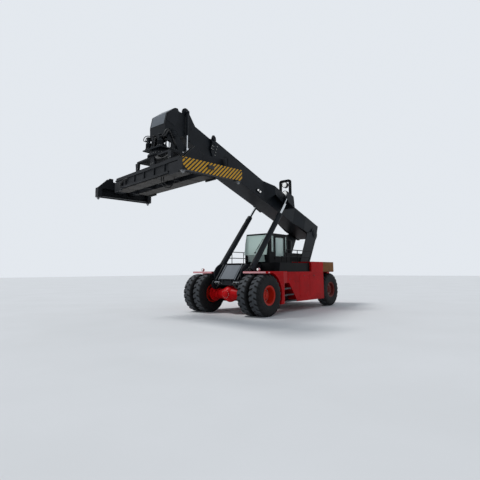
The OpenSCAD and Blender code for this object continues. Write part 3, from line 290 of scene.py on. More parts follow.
# Light grey is painted highlight: it stands for the sky's light on dark steel that faces up.
highlight_grey_paint = sprayed_paint("grey_paint_for_painted_highlights", "#70767c", "#5c6268", 0.4, 0.1)
engine_casting = sprayed_paint("grey_engine_enamel", "#5a5f64", "#484c50", 0.5)
print("paints:", len(bpy.data.materials) - 1)

# %% [markdown]
# Rubber is never quite black. On a tyre the side wall stays darkest, while the
# lugs are scuffed grey where they meet the ground. So the colour depends on how
# far a point is from its wheel's axle: the nearer of the two axles, seen from the
# side, is its own. Two materials with a border between them would be simpler, but
# rubber wears away without a border.

# %% Tyre rubber
TYRE_RADIUS = 0.82
SCUFF_START, SCUFF_FULL = TYRE_RADIUS - 0.022, TYRE_RADIUS - 0.006
wheel_centres = {}
for side_name in ("left", "right"):
    for axle, turn in (("front", "wheels_turn"), ("rear", "wheel_turn")):
        wheel_centres[axle, side_name] = joints[f"{axle}_{side_name}_{turn}"]["pos_m"]


def tyre_rubber():
    material, tree, surface, place = new_material("carbon_black_tyre_rubber")
    patch = between(tree, noise(tree, place, 5.0, 9.0, 0.7), 0.35, 0.72)
    clean = blend_colours(tree, patch, "#0a0b0c", "#17181a")
    scuffed = blend_colours(tree, patch, "#34373a", "#4a4d51")
    flat = add(tree, "ShaderNodeVectorMath", {0: place, 1: (1.0, 0.0, 1.0)}, operation="MULTIPLY").outputs[0]
    reaches = []
    for axle in ("front", "rear"):
        x, _, z = wheel_centres[axle, "left"]
        reach = add(tree, "ShaderNodeVectorMath", {0: flat, 1: (x, 0.0, z)}, operation="DISTANCE")
        reaches.append(reach.outputs["Value"])
    tread = between(tree, calculate(tree, "MINIMUM", *reaches), SCUFF_START, SCUFF_FULL)
    wire(tree, surface, {
        "Base Color": blend_colours(tree, tread, clean, scuffed),
        "Roughness": 0.72,
        "Specular IOR Level": 0.25,
        "Normal": bump(tree, noise(tree, place, 130.0, 3.0), 0.35, 0.002),
    })
    return material


rubber = tyre_rubber()
print("wheel centres:", wheel_centres)

# %% [markdown]
# Wire-brushed steel, zinc and chrome are metals, with the default index of
# refraction. A chromed rod is a mirror with fine rings left by polishing, too
# fine to show, so they only blur it a little. Moulded plastic and the wrap of a
# hose have a pebbled skin, about 3 mm from one grain to the next.

# %% Metals and plastics
def worked_metal(name, colour, worn, roughness, grain):
    material, tree, surface, place = new_material(name)
    patch = noise(tree, place, grain, 6.0, 0.65)
    wire(tree, surface, {
        "Base Color": blend_colours(tree, patch, colour, worn),
        "Metallic": 1.0,
        "Roughness": stretched(tree, patch, roughness * 0.8, roughness * 1.3),
    })
    return material


def moulded_plastic(name, colour, roughness):
    material, tree, surface, place = new_material(name)
    wire(tree, surface, {
        "Base Color": blend_colours(tree, noise(tree, place, 8.0, 4.0), colour, "#0c0d0e"),
        "Roughness": roughness,
        "Normal": bump(tree, cells(tree, place, 350.0), 0.2, 0.001),
    })
    return material


chrome = worked_metal("hard_chromed_rod", "#d5d8da", "#c3c7ca", 0.09, 30.0)
bare_steel = worked_metal("worn_bare_steel", "#8e9296", "#6b6a68", 0.38, 25.0)
zinc_bolt = worked_metal("zinc_plated_bolt", "#a8a9a6", "#8b8b86", 0.32, 60.0)
black_plastic = moulded_plastic("moulded_black_plastic", "#1c1d1f", 0.55)
hose_rubber = moulded_plastic("wrapped_hydraulic_hose", "#141516", 0.5)
print("metals and plastics:", [chrome.name, bare_steel.name, zinc_bolt.name, black_plastic.name, hose_rubber.name])

# %% [markdown]
# The cab's panes are laminated safety glass with a green tint. The tint and the
# dark cab behind are what the eye sees, so half of the cab shows through and the
# other half is the tint, a little deeper where the wiper leaves a smear. Light
# bent through two real sheets would take longer and look darker. A lamp's lens is
# clear moulded plastic over a bright bowl, so it glows a little, and the strips on
# the fenders are a pink reflective film of tiny square cells.

# %% Glass, lenses and film
def laminated_glass():
    material, tree, surface, place = new_material("green_laminated_glass")
    smear = noise(tree, place, 2.5, 5.0)
    wire(tree, surface, {
        "Base Color": blend_colours(tree, smear, "#d9efe7", "#d8eee6"),
        "Roughness": 0.03,
        "Alpha": 0.5,
        "IOR": 1.5,
    })
    return material


def lamp_lens(name, colour, glow):
    material, tree, surface, place = new_material(name)
    wire(tree, surface, {
        "Base Color": blend_colours(tree, cells(tree, place, 60.0), colour, "#ffffff"),
        "Roughness": 0.12,
        "Emission Color": shade(colour),
        "Emission Strength": glow,
    })
    return material


def reflective_film():
    material, tree, surface, place = new_material("pink_reflective_film")
    squares = cells(tree, place, 90.0, distance="CHEBYCHEV")
    wire(tree, surface, {"Base Color": blend_colours(tree, squares, "#d98b90", "#eab9bb"), "Roughness": 0.35})
    return material


green_glass = laminated_glass()
white_lens = lamp_lens("clear_lamp_lens", "#f3f3ee", 0.25)
amber_lens = lamp_lens("amber_lamp_lens", "#d8821c", 0.15)
red_lens = lamp_lens("red_lamp_lens", "#a01014", 0.1)
pink_film = reflective_film()
print("glass, lenses and film:", [m.name for m in (green_glass, white_lens, amber_lens, red_lens, pink_film)])

# %% [markdown]
# Each CAD node has a slot in the model's record that says what it is made of. The
# nodes keep their own meshes and get the first finish for their slot, or another
# of that slot's where the photograph shows one.

# %% Finishes for the CAD nodes
FINISHES = {
    "dark_steel": (slate_paint, frame_paint, black_paint, charcoal_paint, tread_paint, highlight_grey_paint),
    "red_paint": (red_paint, axle_paint),
    "dark_red_paint": (shaded_paint,),
    "brown_paint": (ochre_paint,),
    "rim_paint": (rim_paint, shaded_rim_paint),
    "black_plastic": (black_plastic, hose_rubber),
    "lamp_white": (pink_film, white_lens, amber_lens, red_lens),
    "cast_engine": (engine_casting,),
    "window_glass": (green_glass,),
    "tyre_rubber": (rubber,),
    "rod_chrome": (chrome,),
    "bare_steel": (bare_steel, zinc_bolt),
}
OTHER_FINISH = {
    axle_paint: ("drive_axle",),
    # The rear rims take the darker rim paint, which is painted shade.
    shaded_rim_paint: ("rear_left_rim", "rear_right_rim"),
    black_paint: ("cab_body", "cab_door", "walkways", "engine_hood", "handrails", "boom_lamps"),
    red_paint: ("fenders",),
    frame_paint: ("frame_left", "frame_right", "frame_front", "frame_rear"),
    charcoal_paint: ("spreader_frame", "left_end_beam", "right_end_beam", "rotator"),
}
for name, node in nodes.items():
    node.data.materials.clear()
    node.data.materials.append(FINISHES[slots[name]][0])
for coat, names in OTHER_FINISH.items():
    for name in names:
        nodes[name].data.materials[0] = coat
print("slots in use:", sorted(set(slots.values())))

# %% [markdown]
# The boom leans, the spreader is turned a little and the lift cylinders stand at
# an angle. A matrix for each lets a piece be placed along and across what carries
# it. Its directions are read from the model's joints, so they always agree.

# %% Frames of the boom, the spreader and the cylinders
UP = Vector((0, 0, 1))
DOWN = -UP
AHEAD = Vector((1, 0, 0))
SHIFT_AT_REST = -0.18  # how far the spreader stands to the right of its middle
SIDES = (("left", 1), ("right", -1))


def frame_at(origin, forward):
    across = UP.cross(forward).normalized() if abs(forward.z) < 1e-6 else Vector((0, 1, 0))
    return Matrix.Translation(origin) @ Matrix((forward, across, forward.cross(across))).transposed().to_4x4()


def frame_between(start, end):
    return frame_at(start, (end - start).normalized())


def place_of(joint):
    return Vector(joints[joint]["pos_m"])


head_pin = place_of("spreader_level")
boom_direction = -Vector(joints["boom_extend"]["axis"])
shift_direction = Vector(joints["spreader_side_shift"]["axis"])
turned_forward = Vector((shift_direction.y, -shift_direction.x, 0))
BOOM = frame_at(place_of("boom_lift"), boom_direction)
HEAD = Matrix.Translation(head_pin)
ROTATOR = frame_at(head_pin, turned_forward)
SPREADER = frame_at(head_pin + SHIFT_AT_REST * shift_direction, turned_forward)
LIFT = frame_at(place_of("lift_barrels_swing"), Vector(joints["lift_rods_slide"]["axis"]))
print("boom leans", round(math.degrees(math.asin(boom_direction.z)), 1), "degrees")

# %% [markdown]
# Nearly everything small on a machine is a plate with broken edges, a turned
# part, a bent pipe or a bolt. A few helpers make these with bmesh operators, so
# no sharp cube or bare cylinder is left: a bevel modifier would leave that to the
# renderer, and an operator gives the true faces at once. Each helper adds to one
# mesh, and many small parts of one kind then become one piece. Plates come first.

# %% Helpers for plates
def soften(mesh, geometry, width, segments, affect="EDGES"):
    bmesh.ops.bevel(mesh, geom=geometry, offset=width, offset_type="OFFSET", segments=segments,
                    profile=0.5, affect=affect, material=-1)


def plate(mesh, low, high, place=Matrix(), edge=0.004):
    """A box between two corners with its edges broken."""
    low, high = Vector(low), Vector(high)
    size = Matrix.Diagonal((*(high - low), 1.0))
    place = place @ Matrix.Translation((low + high) / 2) @ size
    corners = bmesh.ops.create_cube(mesh, size=1, matrix=place)["verts"]
    soften(mesh, list({e for corner in corners for e in corner.link_edges}), edge, 2)


def plate_pair(mesh, low, high, place=Matrix(), edge=0.004):
    """The same plate on the left and, mirrored, on the right."""
    (x0, y0, z0), (x1, y1, z1) = low, high
    plate(mesh, low, high, place, edge)
    plate(mesh, (x0, -y1, z0), (x1, -y0, z1), place, edge)


def outlined_plate(mesh, outline, thickness, place=Matrix(), edge=0.003):
    """A flat plate cut to an outline of (x, z) points, from y = 0 to y = thickness."""
    face = mesh.faces.new([mesh.verts.new(place @ Vector((x, 0, z))) for x, z in outline])
    moved = bmesh.ops.extrude_face_region(mesh, geom=[face])["geom"]
    lifted = [v for v in moved if isinstance(v, bmesh.types.BMVert)]
    bmesh.ops.translate(mesh, verts=lifted, vec=place.to_3x3() @ Vector((0, thickness, 0)))
    rim = {e for v in lifted for e in v.link_edges if all(w in lifted for w in e.verts)}
    soften(mesh, list(rim), edge, 1)


# %% [markdown]
# A turned part is an outline spun round an axis, as on a lathe. Knobs, flat round
# covers and bolts are all made this way, and a bolt's head is a turned part with
# only six steps.

# %% Helpers for turned parts
COVER_RIM = 0.004  # how much of a cover's rim is turned off


def turned(mesh, outline, start, axis, steps=32, place=Matrix()):
    """A turned part: its outline is (distance along the axis, radius) and is spun round it."""
    axis = Vector(axis).normalized()
    side = axis.orthogonal().normalized()
    corners = [mesh.verts.new(place @ (Vector(start) + axis * along + side * radius)) for along, radius in outline]
    edges = [mesh.edges.new(pair) for pair in zip(corners, corners[1:])]
    bmesh.ops.spin(mesh, geom=corners + edges, cent=place @ Vector(start), axis=place.to_3x3() @ axis,
                   angle=math.tau, steps=steps, use_merge=True)


def knob(mesh, start, axis, radius, length, place=Matrix(), steps=32, edge=0.15):
    """A short round part with a rounded rim, closed at both ends."""
    rim = min(radius, length) * edge
    turned(mesh, [(0, 0), (0, radius), (length - rim, radius), (length - rim * 0.3, radius - rim * 0.3),
                  (length, radius - rim), (length, 0)], start, axis, steps, place)


def round_cover(mesh, start, axis, radius, thickness, place=Matrix(), steps=32, drop=COVER_RIM):
    """A flat disc with its outer rim turned off; it sits on what it covers."""
    turned(mesh, [(0, radius), (thickness - COVER_RIM, radius), (thickness, radius - drop), (thickness, 0)],
           start, axis, steps, place)


def hex_bolt(mesh, spot, axis, size, place=Matrix()):
    """A hexagon head on its washer."""
    washer = size * 0.12
    turned(mesh, [(0, 0), (0, size * 0.75), (washer, size * 0.75), (washer, 0)], spot, axis, 12, place)
    head = [(0, 0), (0, size * 0.56), (size * 0.3, size * 0.56), (size * 0.38, size * 0.48), (size * 0.38, 0)]
    turned(mesh, head, Vector(spot) + Vector(axis) * washer, axis, 6, place)


def bolt_circle(mesh, centre, axis, radius, count, size, place=Matrix()):
    axis = Vector(axis)
    side = axis.orthogonal().normalized()
    for i in range(count):
        spoke = Matrix.Rotation(math.tau * i / count, 3, axis) @ side
        hex_bolt(mesh, Vector(centre) + spoke * radius, axis, size, place)


# %% [markdown]
# When a mesh is ready it becomes a piece: doubled points are merged, its normals
# are turned outwards, and it gets its finish. It rides on one of the model's
# bodies, so that it moves with that body in every pose.

# %% Helper that finishes a piece
SAME_POINT = 1e-5


def finish(name, mesh, material, body, smooth=False):
    bmesh.ops.remove_doubles(mesh, verts=mesh.verts, dist=SAME_POINT)
    bmesh.ops.recalc_face_normals(mesh, faces=mesh.faces)
    data = bpy.data.meshes.new(name)
    mesh.to_mesh(data)
    mesh.free()
    data.materials.append(material)
    if smooth:
        data.polygons.foreach_set("use_smooth", [True] * len(data.polygons))
    piece = bpy.data.objects.new(name, data)
    bpy.context.scene.collection.objects.link(piece)
    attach(piece, body)
    print(name, len(data.polygons), "faces on", body)
    return piece


# %% [markdown]
# A hose or pipe is a curve with a round bevel, which is how Blender bends a tube
# without working out its faces. The curve is turned into a mesh at once, so that
# its place is in its points, as for every other piece.

# %% Helpers for hoses and pipes
def hose(name, runs, radius, material, body, place=Matrix(), sides=3):
    """One piece made of several tubes; each run is a list of points."""
    curve = bpy.data.curves.new(name, "CURVE")
    curve.dimensions = "3D"
    curve.bevel_depth = radius
    curve.bevel_resolution = sides
    curve.use_fill_caps = True
    for run in runs:
        spline = curve.splines.new("NURBS")
        spline.points.add(len(run) - 1)
        for point, spot in zip(spline.points, run):
            point.co = (*(place @ Vector(spot)), 1)
        spline.order_u = min(4, len(run))
        spline.use_endpoint_u = True
        spline.resolution_u = 8
    shape = bpy.data.objects.new(name + "_curve", curve)
    bpy.context.scene.collection.objects.link(shape)
    mesh = bmesh.new()
    mesh.from_mesh(shape.to_mesh())
    shape.to_mesh_clear()
    bpy.data.objects.remove(shape)
    bpy.data.curves.remove(curve)
    return finish(name, mesh, material, body, smooth=True)


def straight(start, end):
    """A straight run, with the third point that a smooth curve needs."""
    return [start, tuple((Vector(start) + Vector(end)) / 2), end]


def mirrored(run, side):
    return [(x, side * y, z) for x, y, z in run]


# %% [markdown]
# The big tyres carry the look of the machine. A tyre is a section spun round the
# wheel's axis, and the tread is cut by moving whole columns of the spun mesh
# inwards: that keeps the faces in even rings and the lugs in a true pattern. The
# lugs of such port tyres lean like a fern, left and right half a step apart, and
# run over the shoulder, so each column is also turned more the further out it is.

# %% The tread
TYRE_SECTION = [  # (radius, half width) from the bead to the middle of the tread
    (0.350, 0.180), (0.385, 0.212), (0.420, 0.230), (0.440, 0.240), (0.452, 0.236), (0.500, 0.246),
    (0.560, 0.2505), (0.600, 0.2500), (0.606, 0.253), (0.620, 0.253), (0.626, 0.248), (0.690, 0.243),
    (0.735, 0.236), (0.775, 0.225), (0.801, 0.193), (0.8200, 0.160), (0.8200, 0.110), (0.8200, 0.060),
    (0.8200, 0.020)]
LUGS = 22
LUG_START, LUG_END = 0.05, 0.62  # in shares of the way from one lug to the next
COLUMNS = (0.0, LUG_START, LUG_END, 0.67, 0.76, 0.88)
GROOVE = 0.036
SHOULDER, LUG_FOOT = 0.79, 0.69  # radii between which the grooves run out
CENTRE_RIB = 0.05  # half of the uncut ring in the middle
LEAN, HALF_TYRE = 0.42, 0.25


def tread_cut(column, width, radius):
    """How deep the groove is at a point of the section."""
    if LUG_START <= column <= LUG_END:
        return 0.0
    depth = GROOVE * 0.35 if column == 0.0 else GROOVE
    if radius > SHOULDER:
        return depth if width > CENTRE_RIB else 0.0
    return depth * max(0.0, min(1.0, (radius - LUG_FOOT) / 0.08))


def cut_corner(corner, centre):
    """Turn one corner to its column's place, and move it in where a groove is."""
    steps = LUGS * len(COLUMNS)
    local = corner.co - centre
    radius = math.hypot(local.x, local.z)
    lug, number = divmod(round(math.atan2(local.x, local.z) / math.tau * steps) % steps, len(COLUMNS))
    width = abs(local.y)
    half_step = 0.5 if local.y < 0 else 0.0
    lean = LEAN * (width / HALF_TYRE) ** 1.6
    angle = (lug + COLUMNS[number] + half_step + lean) / LUGS * math.tau
    depth = tread_cut(COLUMNS[number], width, radius)
    if radius > SHOULDER:
        radius -= depth
    else:
        local.y -= math.copysign(depth * 0.8, local.y)
        radius -= depth * 0.25
    corner.co = centre + Vector((math.sin(angle) * radius, local.y, math.cos(angle) * radius))


# %% [markdown]
# Each drive wheel has two such tyres side by side and each steered wheel one. They
# replace the CAD model's tyres, whose plainer lugs are the same size.

# %% The tyres
FRONT_TYRES = (1.24, 1.83)
REAR_TYRES = (1.40,)


def tyre_piece(name, node_replaced, wheel_centre, offsets, body):
    mesh = bmesh.new()
    section = [(-width, radius) for radius, width in TYRE_SECTION]
    section += [(width, radius) for radius, width in TYRE_SECTION[::-1]]
    for offset in offsets:
        centre = Vector((wheel_centre[0], offset, wheel_centre[2]))
        before = set(mesh.verts)
        corners = [mesh.verts.new(centre + Vector((0, along, radius))) for along, radius in section]
        edges = [mesh.edges.new(pair) for pair in zip(corners, corners[1:] + corners[:1])]
        bmesh.ops.spin(mesh, geom=corners + edges, cent=centre, axis=(0, 1, 0), angle=math.tau,
                       steps=LUGS * len(COLUMNS), use_merge=True)
        for corner in set(mesh.verts) - before:
            cut_corner(corner, centre)
    piece = finish(name, mesh, rubber, body)
    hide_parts(node_replaced)


for side_name, side in SIDES:
    tyre_piece(f"front_{side_name}_treaded_tyres", f"front_{side_name}_tyres", wheel_centres["front", side_name],
               [side * y for y in FRONT_TYRES], f"front_{side_name}_wheels")
    tyre_piece(f"rear_{side_name}_treaded_tyre", f"rear_{side_name}_tyre", wheel_centres["rear", side_name],
               [side * y for y in REAR_TYRES], f"rear_{side_name}_wheel")

# %% [markdown]
# A drive wheel is held by a ring of nuts on studs, outside its planetary hub. The
# hub has its own ring of cap screws, an oil plug and a stepped cover, turned here
# from one outline. The steered wheels have the same in a smaller size, so one
# function reads both sizes from a table. Nuts are zinc plated, and one piece holds
# all of a wheel's: copies in an array would be as many objects to keep in place.

# %% Wheel nuts and hub covers
NUT, CAP_SCREW = 0.036, 0.022
WHEEL_SIZES = {  # body, finish, nuts' face, cover's face, nuts' radius, cover's radius, nuts
    "front": ("wheels", rim_paint, 1.802, 1.880, 0.250, 0.150, 20),
    # The rear wheels take the darker rim paint, which is painted shade.
    "rear": ("wheel", shaded_rim_paint, 1.485, 1.520, 0.215, 0.168, 12),
}


def wheel_dressing(side_name, side, axle):
    kind, paint, face, cap, nut_radius, cap_radius, nuts = WHEEL_SIZES[axle]
    body = f"{axle}_{side_name}_{kind}"
    x, _, z = wheel_centres[axle, side_name]
    out = Vector((0, side, 0))
    mesh = bmesh.new()
    bolt_circle(mesh, (x, side * face, z), out, nut_radius, nuts, NUT)
    turned(mesh, [(0, 0.008), (0.05, 0.008), (0.05, 0)], (x + 0.02, side * face, z + nut_radius + 0.035), out, 8)
    finish(f"{axle}_{side_name}_wheel_nuts", mesh, zinc_bolt, body)
    mesh = bmesh.new()
    steps = [(0, 0.98), (0.012, 0.98), (0.016, 0.94), (0.016, 0.55), (0.03, 0.50), (0.038, 0.42), (0.038, 0)]
    turned(mesh, [(along, cap_radius * share) for along, share in steps], (x, side * cap, z), out, 40)
    bolt_circle(mesh, (x, side * (cap + 0.015), z), out, cap_radius * 0.76, 10, CAP_SCREW)
    knob(mesh, (x, side * (cap + 0.037), z + cap_radius * 0.2), out, 0.014, 0.012, steps=6)
    finish(f"{axle}_{side_name}_hub_cover", mesh, paint, body)


for side_name, side in SIDES:
    for axle in ("front", "rear"):
        wheel_dressing(side_name, side, axle)

# %% [markdown]
# The outer faces of both end beams carry slanted yellow and black stripes, which
# warn whoever walks near the spreader. They are film stuck on the steel, so they
# are thin plates of their own, cut to the beam's outline, and the stripes come
# from one number: how far a point is along the slant, in stripe widths.

# %% Warning film
STRIPE_PITCH = 0.140  # one yellow and one black stripe, measured along the beam
YELLOW_SHARE = 0.52


def warning_stripes():
    material, tree, surface, place = new_material("yellow_and_black_warning_film")
    slant = tuple((turned_forward + UP) / STRIPE_PITCH)
    along = add(tree, "ShaderNodeVectorMath", {0: place, 1: slant}, operation="DOT_PRODUCT").outputs["Value"]
    stripe = calculate(tree, "GREATER_THAN", calculate(tree, "FRACT", along), YELLOW_SHARE)
    worn = between(tree, noise(tree, place, 9.0, 8.0, 0.72), 0.50, 0.78)
    yellow = blend_colours(tree, worn, "#cf9a1e", "#6e5a2c")
    black = blend_colours(tree, worn, "#101113", "#2e2c28")
    wire(tree, surface, {
        "Base Color": blend_colours(tree, stripe, yellow, black),
        "Roughness": 0.45,
        "Specular IOR Level": 0.3,
    })
    return material


striped_film = warning_stripes()
print("stripes:", STRIPE_PITCH, "m for one of each colour")

# %% [markdown]
# The film follows the beam's face, whose lower corners are cut off. Stripes could
# be painted on the whole beam instead, but its top and underside would have them
# too. A small black box with the end's marker sits in the film's middle, and a row
# of bolts above it.

# %% Stripes and boxes on the end beams
# In the spreader's frame, across is Y and the heights are below the boom's head pin
BEAM_FACE = [(-1.216, -1.643), (1.216, -1.643), (1.216, -1.868), (1.037, -2.017), (-1.157, -2.017),
             (-1.216, -1.958)]
BEAM_END = 3.030
for side_name, side in SIDES:
    body = f"{side_name}_end"
    mesh = bmesh.new()
    face_place = SPREADER @ Matrix.Translation((0, side * (BEAM_END - 0.0005), 0))
    outlined_plate(mesh, BEAM_FACE, side * 0.003, face_place, edge=0.001)
    finish(f"{side_name}_end_stripes", mesh, striped_film, body)
    mesh = bmesh.new()
    low, high = sorted((side * BEAM_END, side * (BEAM_END + 0.045)))
    plate(mesh, (0.03, low, -1.86), (0.27, high, -1.74), SPREADER, 0.012)
    for w in (-1.12, -0.75, -0.38, 0.38, 0.75, 1.12):
        hex_bolt(mesh, (w, side * (BEAM_END + 0.003), -1.70), (0, side, 0), 0.028, SPREADER)
    finish(f"{side_name}_end_marker_box", mesh, black_plastic, body)

# %% [markdown]
# The spreader is a welded steel frame full of hydraulics. Cover plates close its
# underside, with a seam between each pair, and that is the widest surface that a
# person in front of the machine sees from below. They are brown-grey, as steel
# from the mill is. Each cover is a plate of its own, since a real seam takes a
# shadow and a drawn one doesn't. Smaller hatches on top lead to the beams' pads.

# %% Covers on the spreader
FRAME_END, COVER, SEAM = 2.18, 0.72, 0.008
FRAME_LOW, FRAME_TOP = -1.8255, -1.3255
GIRDER_IN, GIRDER_OUT = 0.205, 0.735
cover_steel = sprayed_paint("brown_grey_mill_scale_plate", "#37322d", "#262422", 0.5, 0.0)
mesh = bmesh.new()
for w_side in (-1, 1):
    w0, w1 = sorted((w_side * GIRDER_IN, w_side * GIRDER_OUT))
    for i in range(6):
        s0 = -FRAME_END + i * COVER
        s1 = s0 + COVER
        plate(mesh, (w0, s0 + SEAM, FRAME_LOW - 0.0075), (w1, s1 - SEAM, FRAME_LOW), SPREADER, 0.003)
        for s in (s0 + 0.06, s1 - 0.06):
            for w in (w0 + 0.04, w1 - 0.04):
                hex_bolt(mesh, (w, s, FRAME_LOW - 0.0075), DOWN, 0.024, SPREADER)
finish("spreader_underside_covers", mesh, cover_steel, "spreader")

mesh = bmesh.new()
for w_side in (-1, 1):
    w0, w1 = sorted((w_side * 0.42, w_side * 0.60))
    for i in range(7):
        s = -1.95 + i * 0.65
        plate(mesh, (w0, s - 0.14, FRAME_TOP), (w1, s + 0.14, FRAME_TOP + 0.0145), SPREADER, 0.005)
        for bolt_s in (s - 0.11, s + 0.11):
            hex_bolt(mesh, ((w0 + w1) / 2, bolt_s, FRAME_TOP + 0.0145), UP, 0.026, SPREADER)
finish("spreader_hatch_covers", mesh, slate_paint, "spreader")

# %% [markdown]
# Hoses leave the frame in short loops: two on the outer girder, two below it and
# one on the girder nearer the machine. Both ends of each are held in the frame, so
# they are trim and not free cords, and a few points place each loop as well as a
# simulation would. Three steel tubes run along the top of the inner girder.

# %% Hoses and tubes on the spreader
hose("spreader_hose_loops", [
    [(0.76, -1.20, -1.50), (0.82, -1.28, -1.50), (0.85, -1.52, -1.55), (0.85, -1.70, -1.70), (0.83, -1.62, -1.88),
     (0.74, -1.50, -1.82)],
    [(0.76, -1.26, -1.54), (0.81, -1.34, -1.54), (0.83, -1.56, -1.60), (0.83, -1.66, -1.71), (0.82, -1.60, -1.84),
     (0.74, -1.54, -1.79)],
    [(0.62, 0.95, -1.83), (0.66, 0.98, -2.05), (0.50, 1.02, -2.22), (0.22, 1.06, -2.12), (0.16, 1.08, -1.83)],
    [(0.58, 1.02, -1.83), (0.62, 1.04, -2.00), (0.46, 1.08, -2.14), (0.24, 1.12, -2.06), (0.19, 1.14, -1.83)],
    [(-0.74, 1.55, -1.42), (-0.86, 1.50, -1.42), (-0.90, 1.20, -1.52), (-0.88, 0.85, -1.44), (-0.76, 0.8, -1.42)],
    ], 0.017, hose_rubber, "spreader", SPREADER)
hose("spreader_tubes", [straight((-w, -2.05, -1.305), (-w, 2.05, -1.305)) for w in (0.30, 0.345, 0.39)],
     0.012, black_paint, "spreader", SPREADER)

# %% [markdown]
# Below the boom's nose hangs the yoke with the slewing ring. The ring's bolts
# stand in a close circle, because they carry the whole load. Three motors turn
# it, and each has a flange with screws, a finned brake and two ports for hoses.
# A bump could hint at bolts, but only modelled ones throw shadows.

# %% Slewing ring and motors
# Heights are below the head pin
RING_TOP, FLANGE_TOP, BRAKE_TOP = -0.600, -0.560, -0.340
MOTOR_X, MOTOR_ROWS = 0.52, (-0.33, 0.0, 0.33)
PORTS = (-0.05, 0.05)
mesh = bmesh.new()
bolt_circle(mesh, (0, 0, RING_TOP), UP, 0.485, 30, 0.034, HEAD)
for y in MOTOR_ROWS:
    bolt_circle(mesh, (MOTOR_X, y, FLANGE_TOP), UP, 0.108, 8, 0.022, HEAD)
    bolt_circle(mesh, (MOTOR_X, y, BRAKE_TOP), UP, 0.082, 6, 0.016, HEAD)
finish("slewing_ring_bolts", mesh, zinc_bolt, "head")

mesh = bmesh.new()
for y in MOTOR_ROWS:
    for i in range(4):
        fin = [(0, 0.09), (0, 0.106), (0.018, 0.106), (0.018, 0.09)]
        turned(mesh, fin, (MOTOR_X, y, -0.52 + i * 0.042), UP, 32, HEAD)
    cap = [(0, 0.071), (0, 0.079), (0.03, 0.079), (0.045, 0.07), (0.05, 0.04), (0.05, 0)]
    turned(mesh, cap, (MOTOR_X, y, -0.178), UP, 24, HEAD)
    for dx in PORTS:
        knob(mesh, (MOTOR_X + dx, y, -0.25), (0, 1 if y >= 0 else -1, 0), 0.026, 0.13, HEAD, 10)
finish("motor_fins_and_ports", mesh, black_paint, "head")

# %% [markdown]
# The yoke's pins have a stepped cover with a ring of screws, so that they can't
# walk out. The motors' hoses leave the ports outwards, bend over the yoke's side
# plates and go down to the ring. A hose is guided by its points alone, which is
# less work than a simulation and keeps it clear of the plates.

# %% Pin covers and hoses of the head
mesh = bmesh.new()
for _, side in SIDES:
    out = (0, side, 0)
    turned(mesh, [(0, 0.150), (0.020, 0.150), (0.026, 0.144), (0.026, 0.07), (0.040, 0.06), (0.040, 0)],
           (0, side * 0.512, 0), out, 40, HEAD)
    bolt_circle(mesh, (0, side * 0.538, 0), out, 0.115, 8, 0.030, HEAD)
    round_cover(mesh, (-0.17, side * 0.507, -0.48), out, 0.062, 0.016, HEAD, 28)
    bolt_circle(mesh, (-0.17, side * 0.52, -0.48), out, 0.042, 4, 0.018, HEAD)
finish("yoke_pin_covers", mesh, slate_paint, "head")

outer_motors = [
    [(MOTOR_X + dx, y * 1.38, -0.25), (MOTOR_X + dx, y * 1.9, -0.22), (0.48 + dx, y * 1.9, 0.05),
     (0.20, y * 1.55, 0.02 + dx), (0.05, y * 1.50, -0.22), (-0.05 + dx, y * 1.46, -0.42), (-0.30, y * 1.30, -0.59)]
    for y in (MOTOR_ROWS[0], MOTOR_ROWS[2]) for dx in PORTS]
middle_motor = [
    [(0.47, 0.13, -0.25), (0.46, 0.24, -0.24), (0.40, 0.26, -0.12), (0.33, 0.22, -0.3), (0.30, 0.15, -0.6)],
    [(0.57, 0.13, -0.25), (0.60, 0.22, -0.22), (0.66, 0.20, -0.30), (0.62, 0.14, -0.45), (0.60, 0.10, -0.6)]]
hose("motor_hoses", outer_motors + middle_motor, 0.016, hose_rubber, "head", HEAD)

# %% [markdown]
# The rotator hangs under the ring. A wider circle of bolts holds it, pairs of
# bolts hold its arms to the side-shift rails, and three hoses come down from it.
# They ride on the slewing frame, so that they turn with it and not with the yoke.

# %% Bolts and hoses of the rotator
mesh = bmesh.new()
bolt_circle(mesh, (0, 0, -0.800), UP, 0.615, 36, 0.032, ROTATOR)
for w in (-1, 1):
    for s in (-1.11, 0, 1.11):
        for bolt_s in (s - 0.06, s + 0.06):
            hex_bolt(mesh, (w * 0.545, bolt_s, -1.15), (w, 0, 0), 0.026, ROTATOR)
finish("rotator_bolts", mesh, zinc_bolt, "slewing_frame")
hose("rotator_hoses", [
    [(0.46, 0.20 + i * 0.07, -0.86), (0.62, 0.24 + i * 0.07, -0.96), (0.64, 0.50 + i * 0.06, -1.12),
     (0.60, 0.80 + i * 0.05, -1.16), (0.50, 0.98 + i * 0.03, -1.02)] for i in range(3)],
    0.015, hose_rubber, "slewing_frame", ROTATOR)

# %% [markdown]
# The nose of the boom is doubled where the yoke pulls on it. The front cover
# between its plates is light grey as painted highlight, for the sky's light on a
# face that looks up. It is made of three flat sheets along the nose's edge, each in
# a frame of its own.

# %% Nose plates
# Along and above the boom, from its pivot
NOSE_COVER = [(10.452, 0.764), (10.563, 0.724), (10.834, 0.301), (10.784, -0.141)]
DOUBLER = [(10.34, 0.02), (10.30, 0.40), (10.38, 0.68), (10.45, 0.74), (10.545, 0.705), (10.81, 0.30),
           (10.77, 0.02)]
COVER_HALF, SHEET, SHEET_GAP = 0.375, 0.005, 0.004
mesh = bmesh.new()
edge_points = [Vector((u, 0, v)) for u, v in NOSE_COVER]
for start, end in zip(edge_points, edge_points[1:]):
    reach = (end - start).length - SHEET_GAP
    plate(mesh, (SHEET_GAP, -COVER_HALF, 0), (reach, COVER_HALF, SHEET), BOOM @ frame_between(start, end), 0.002)
finish("nose_cover_sheet", mesh, highlight_grey_paint, "inner_boom_body")

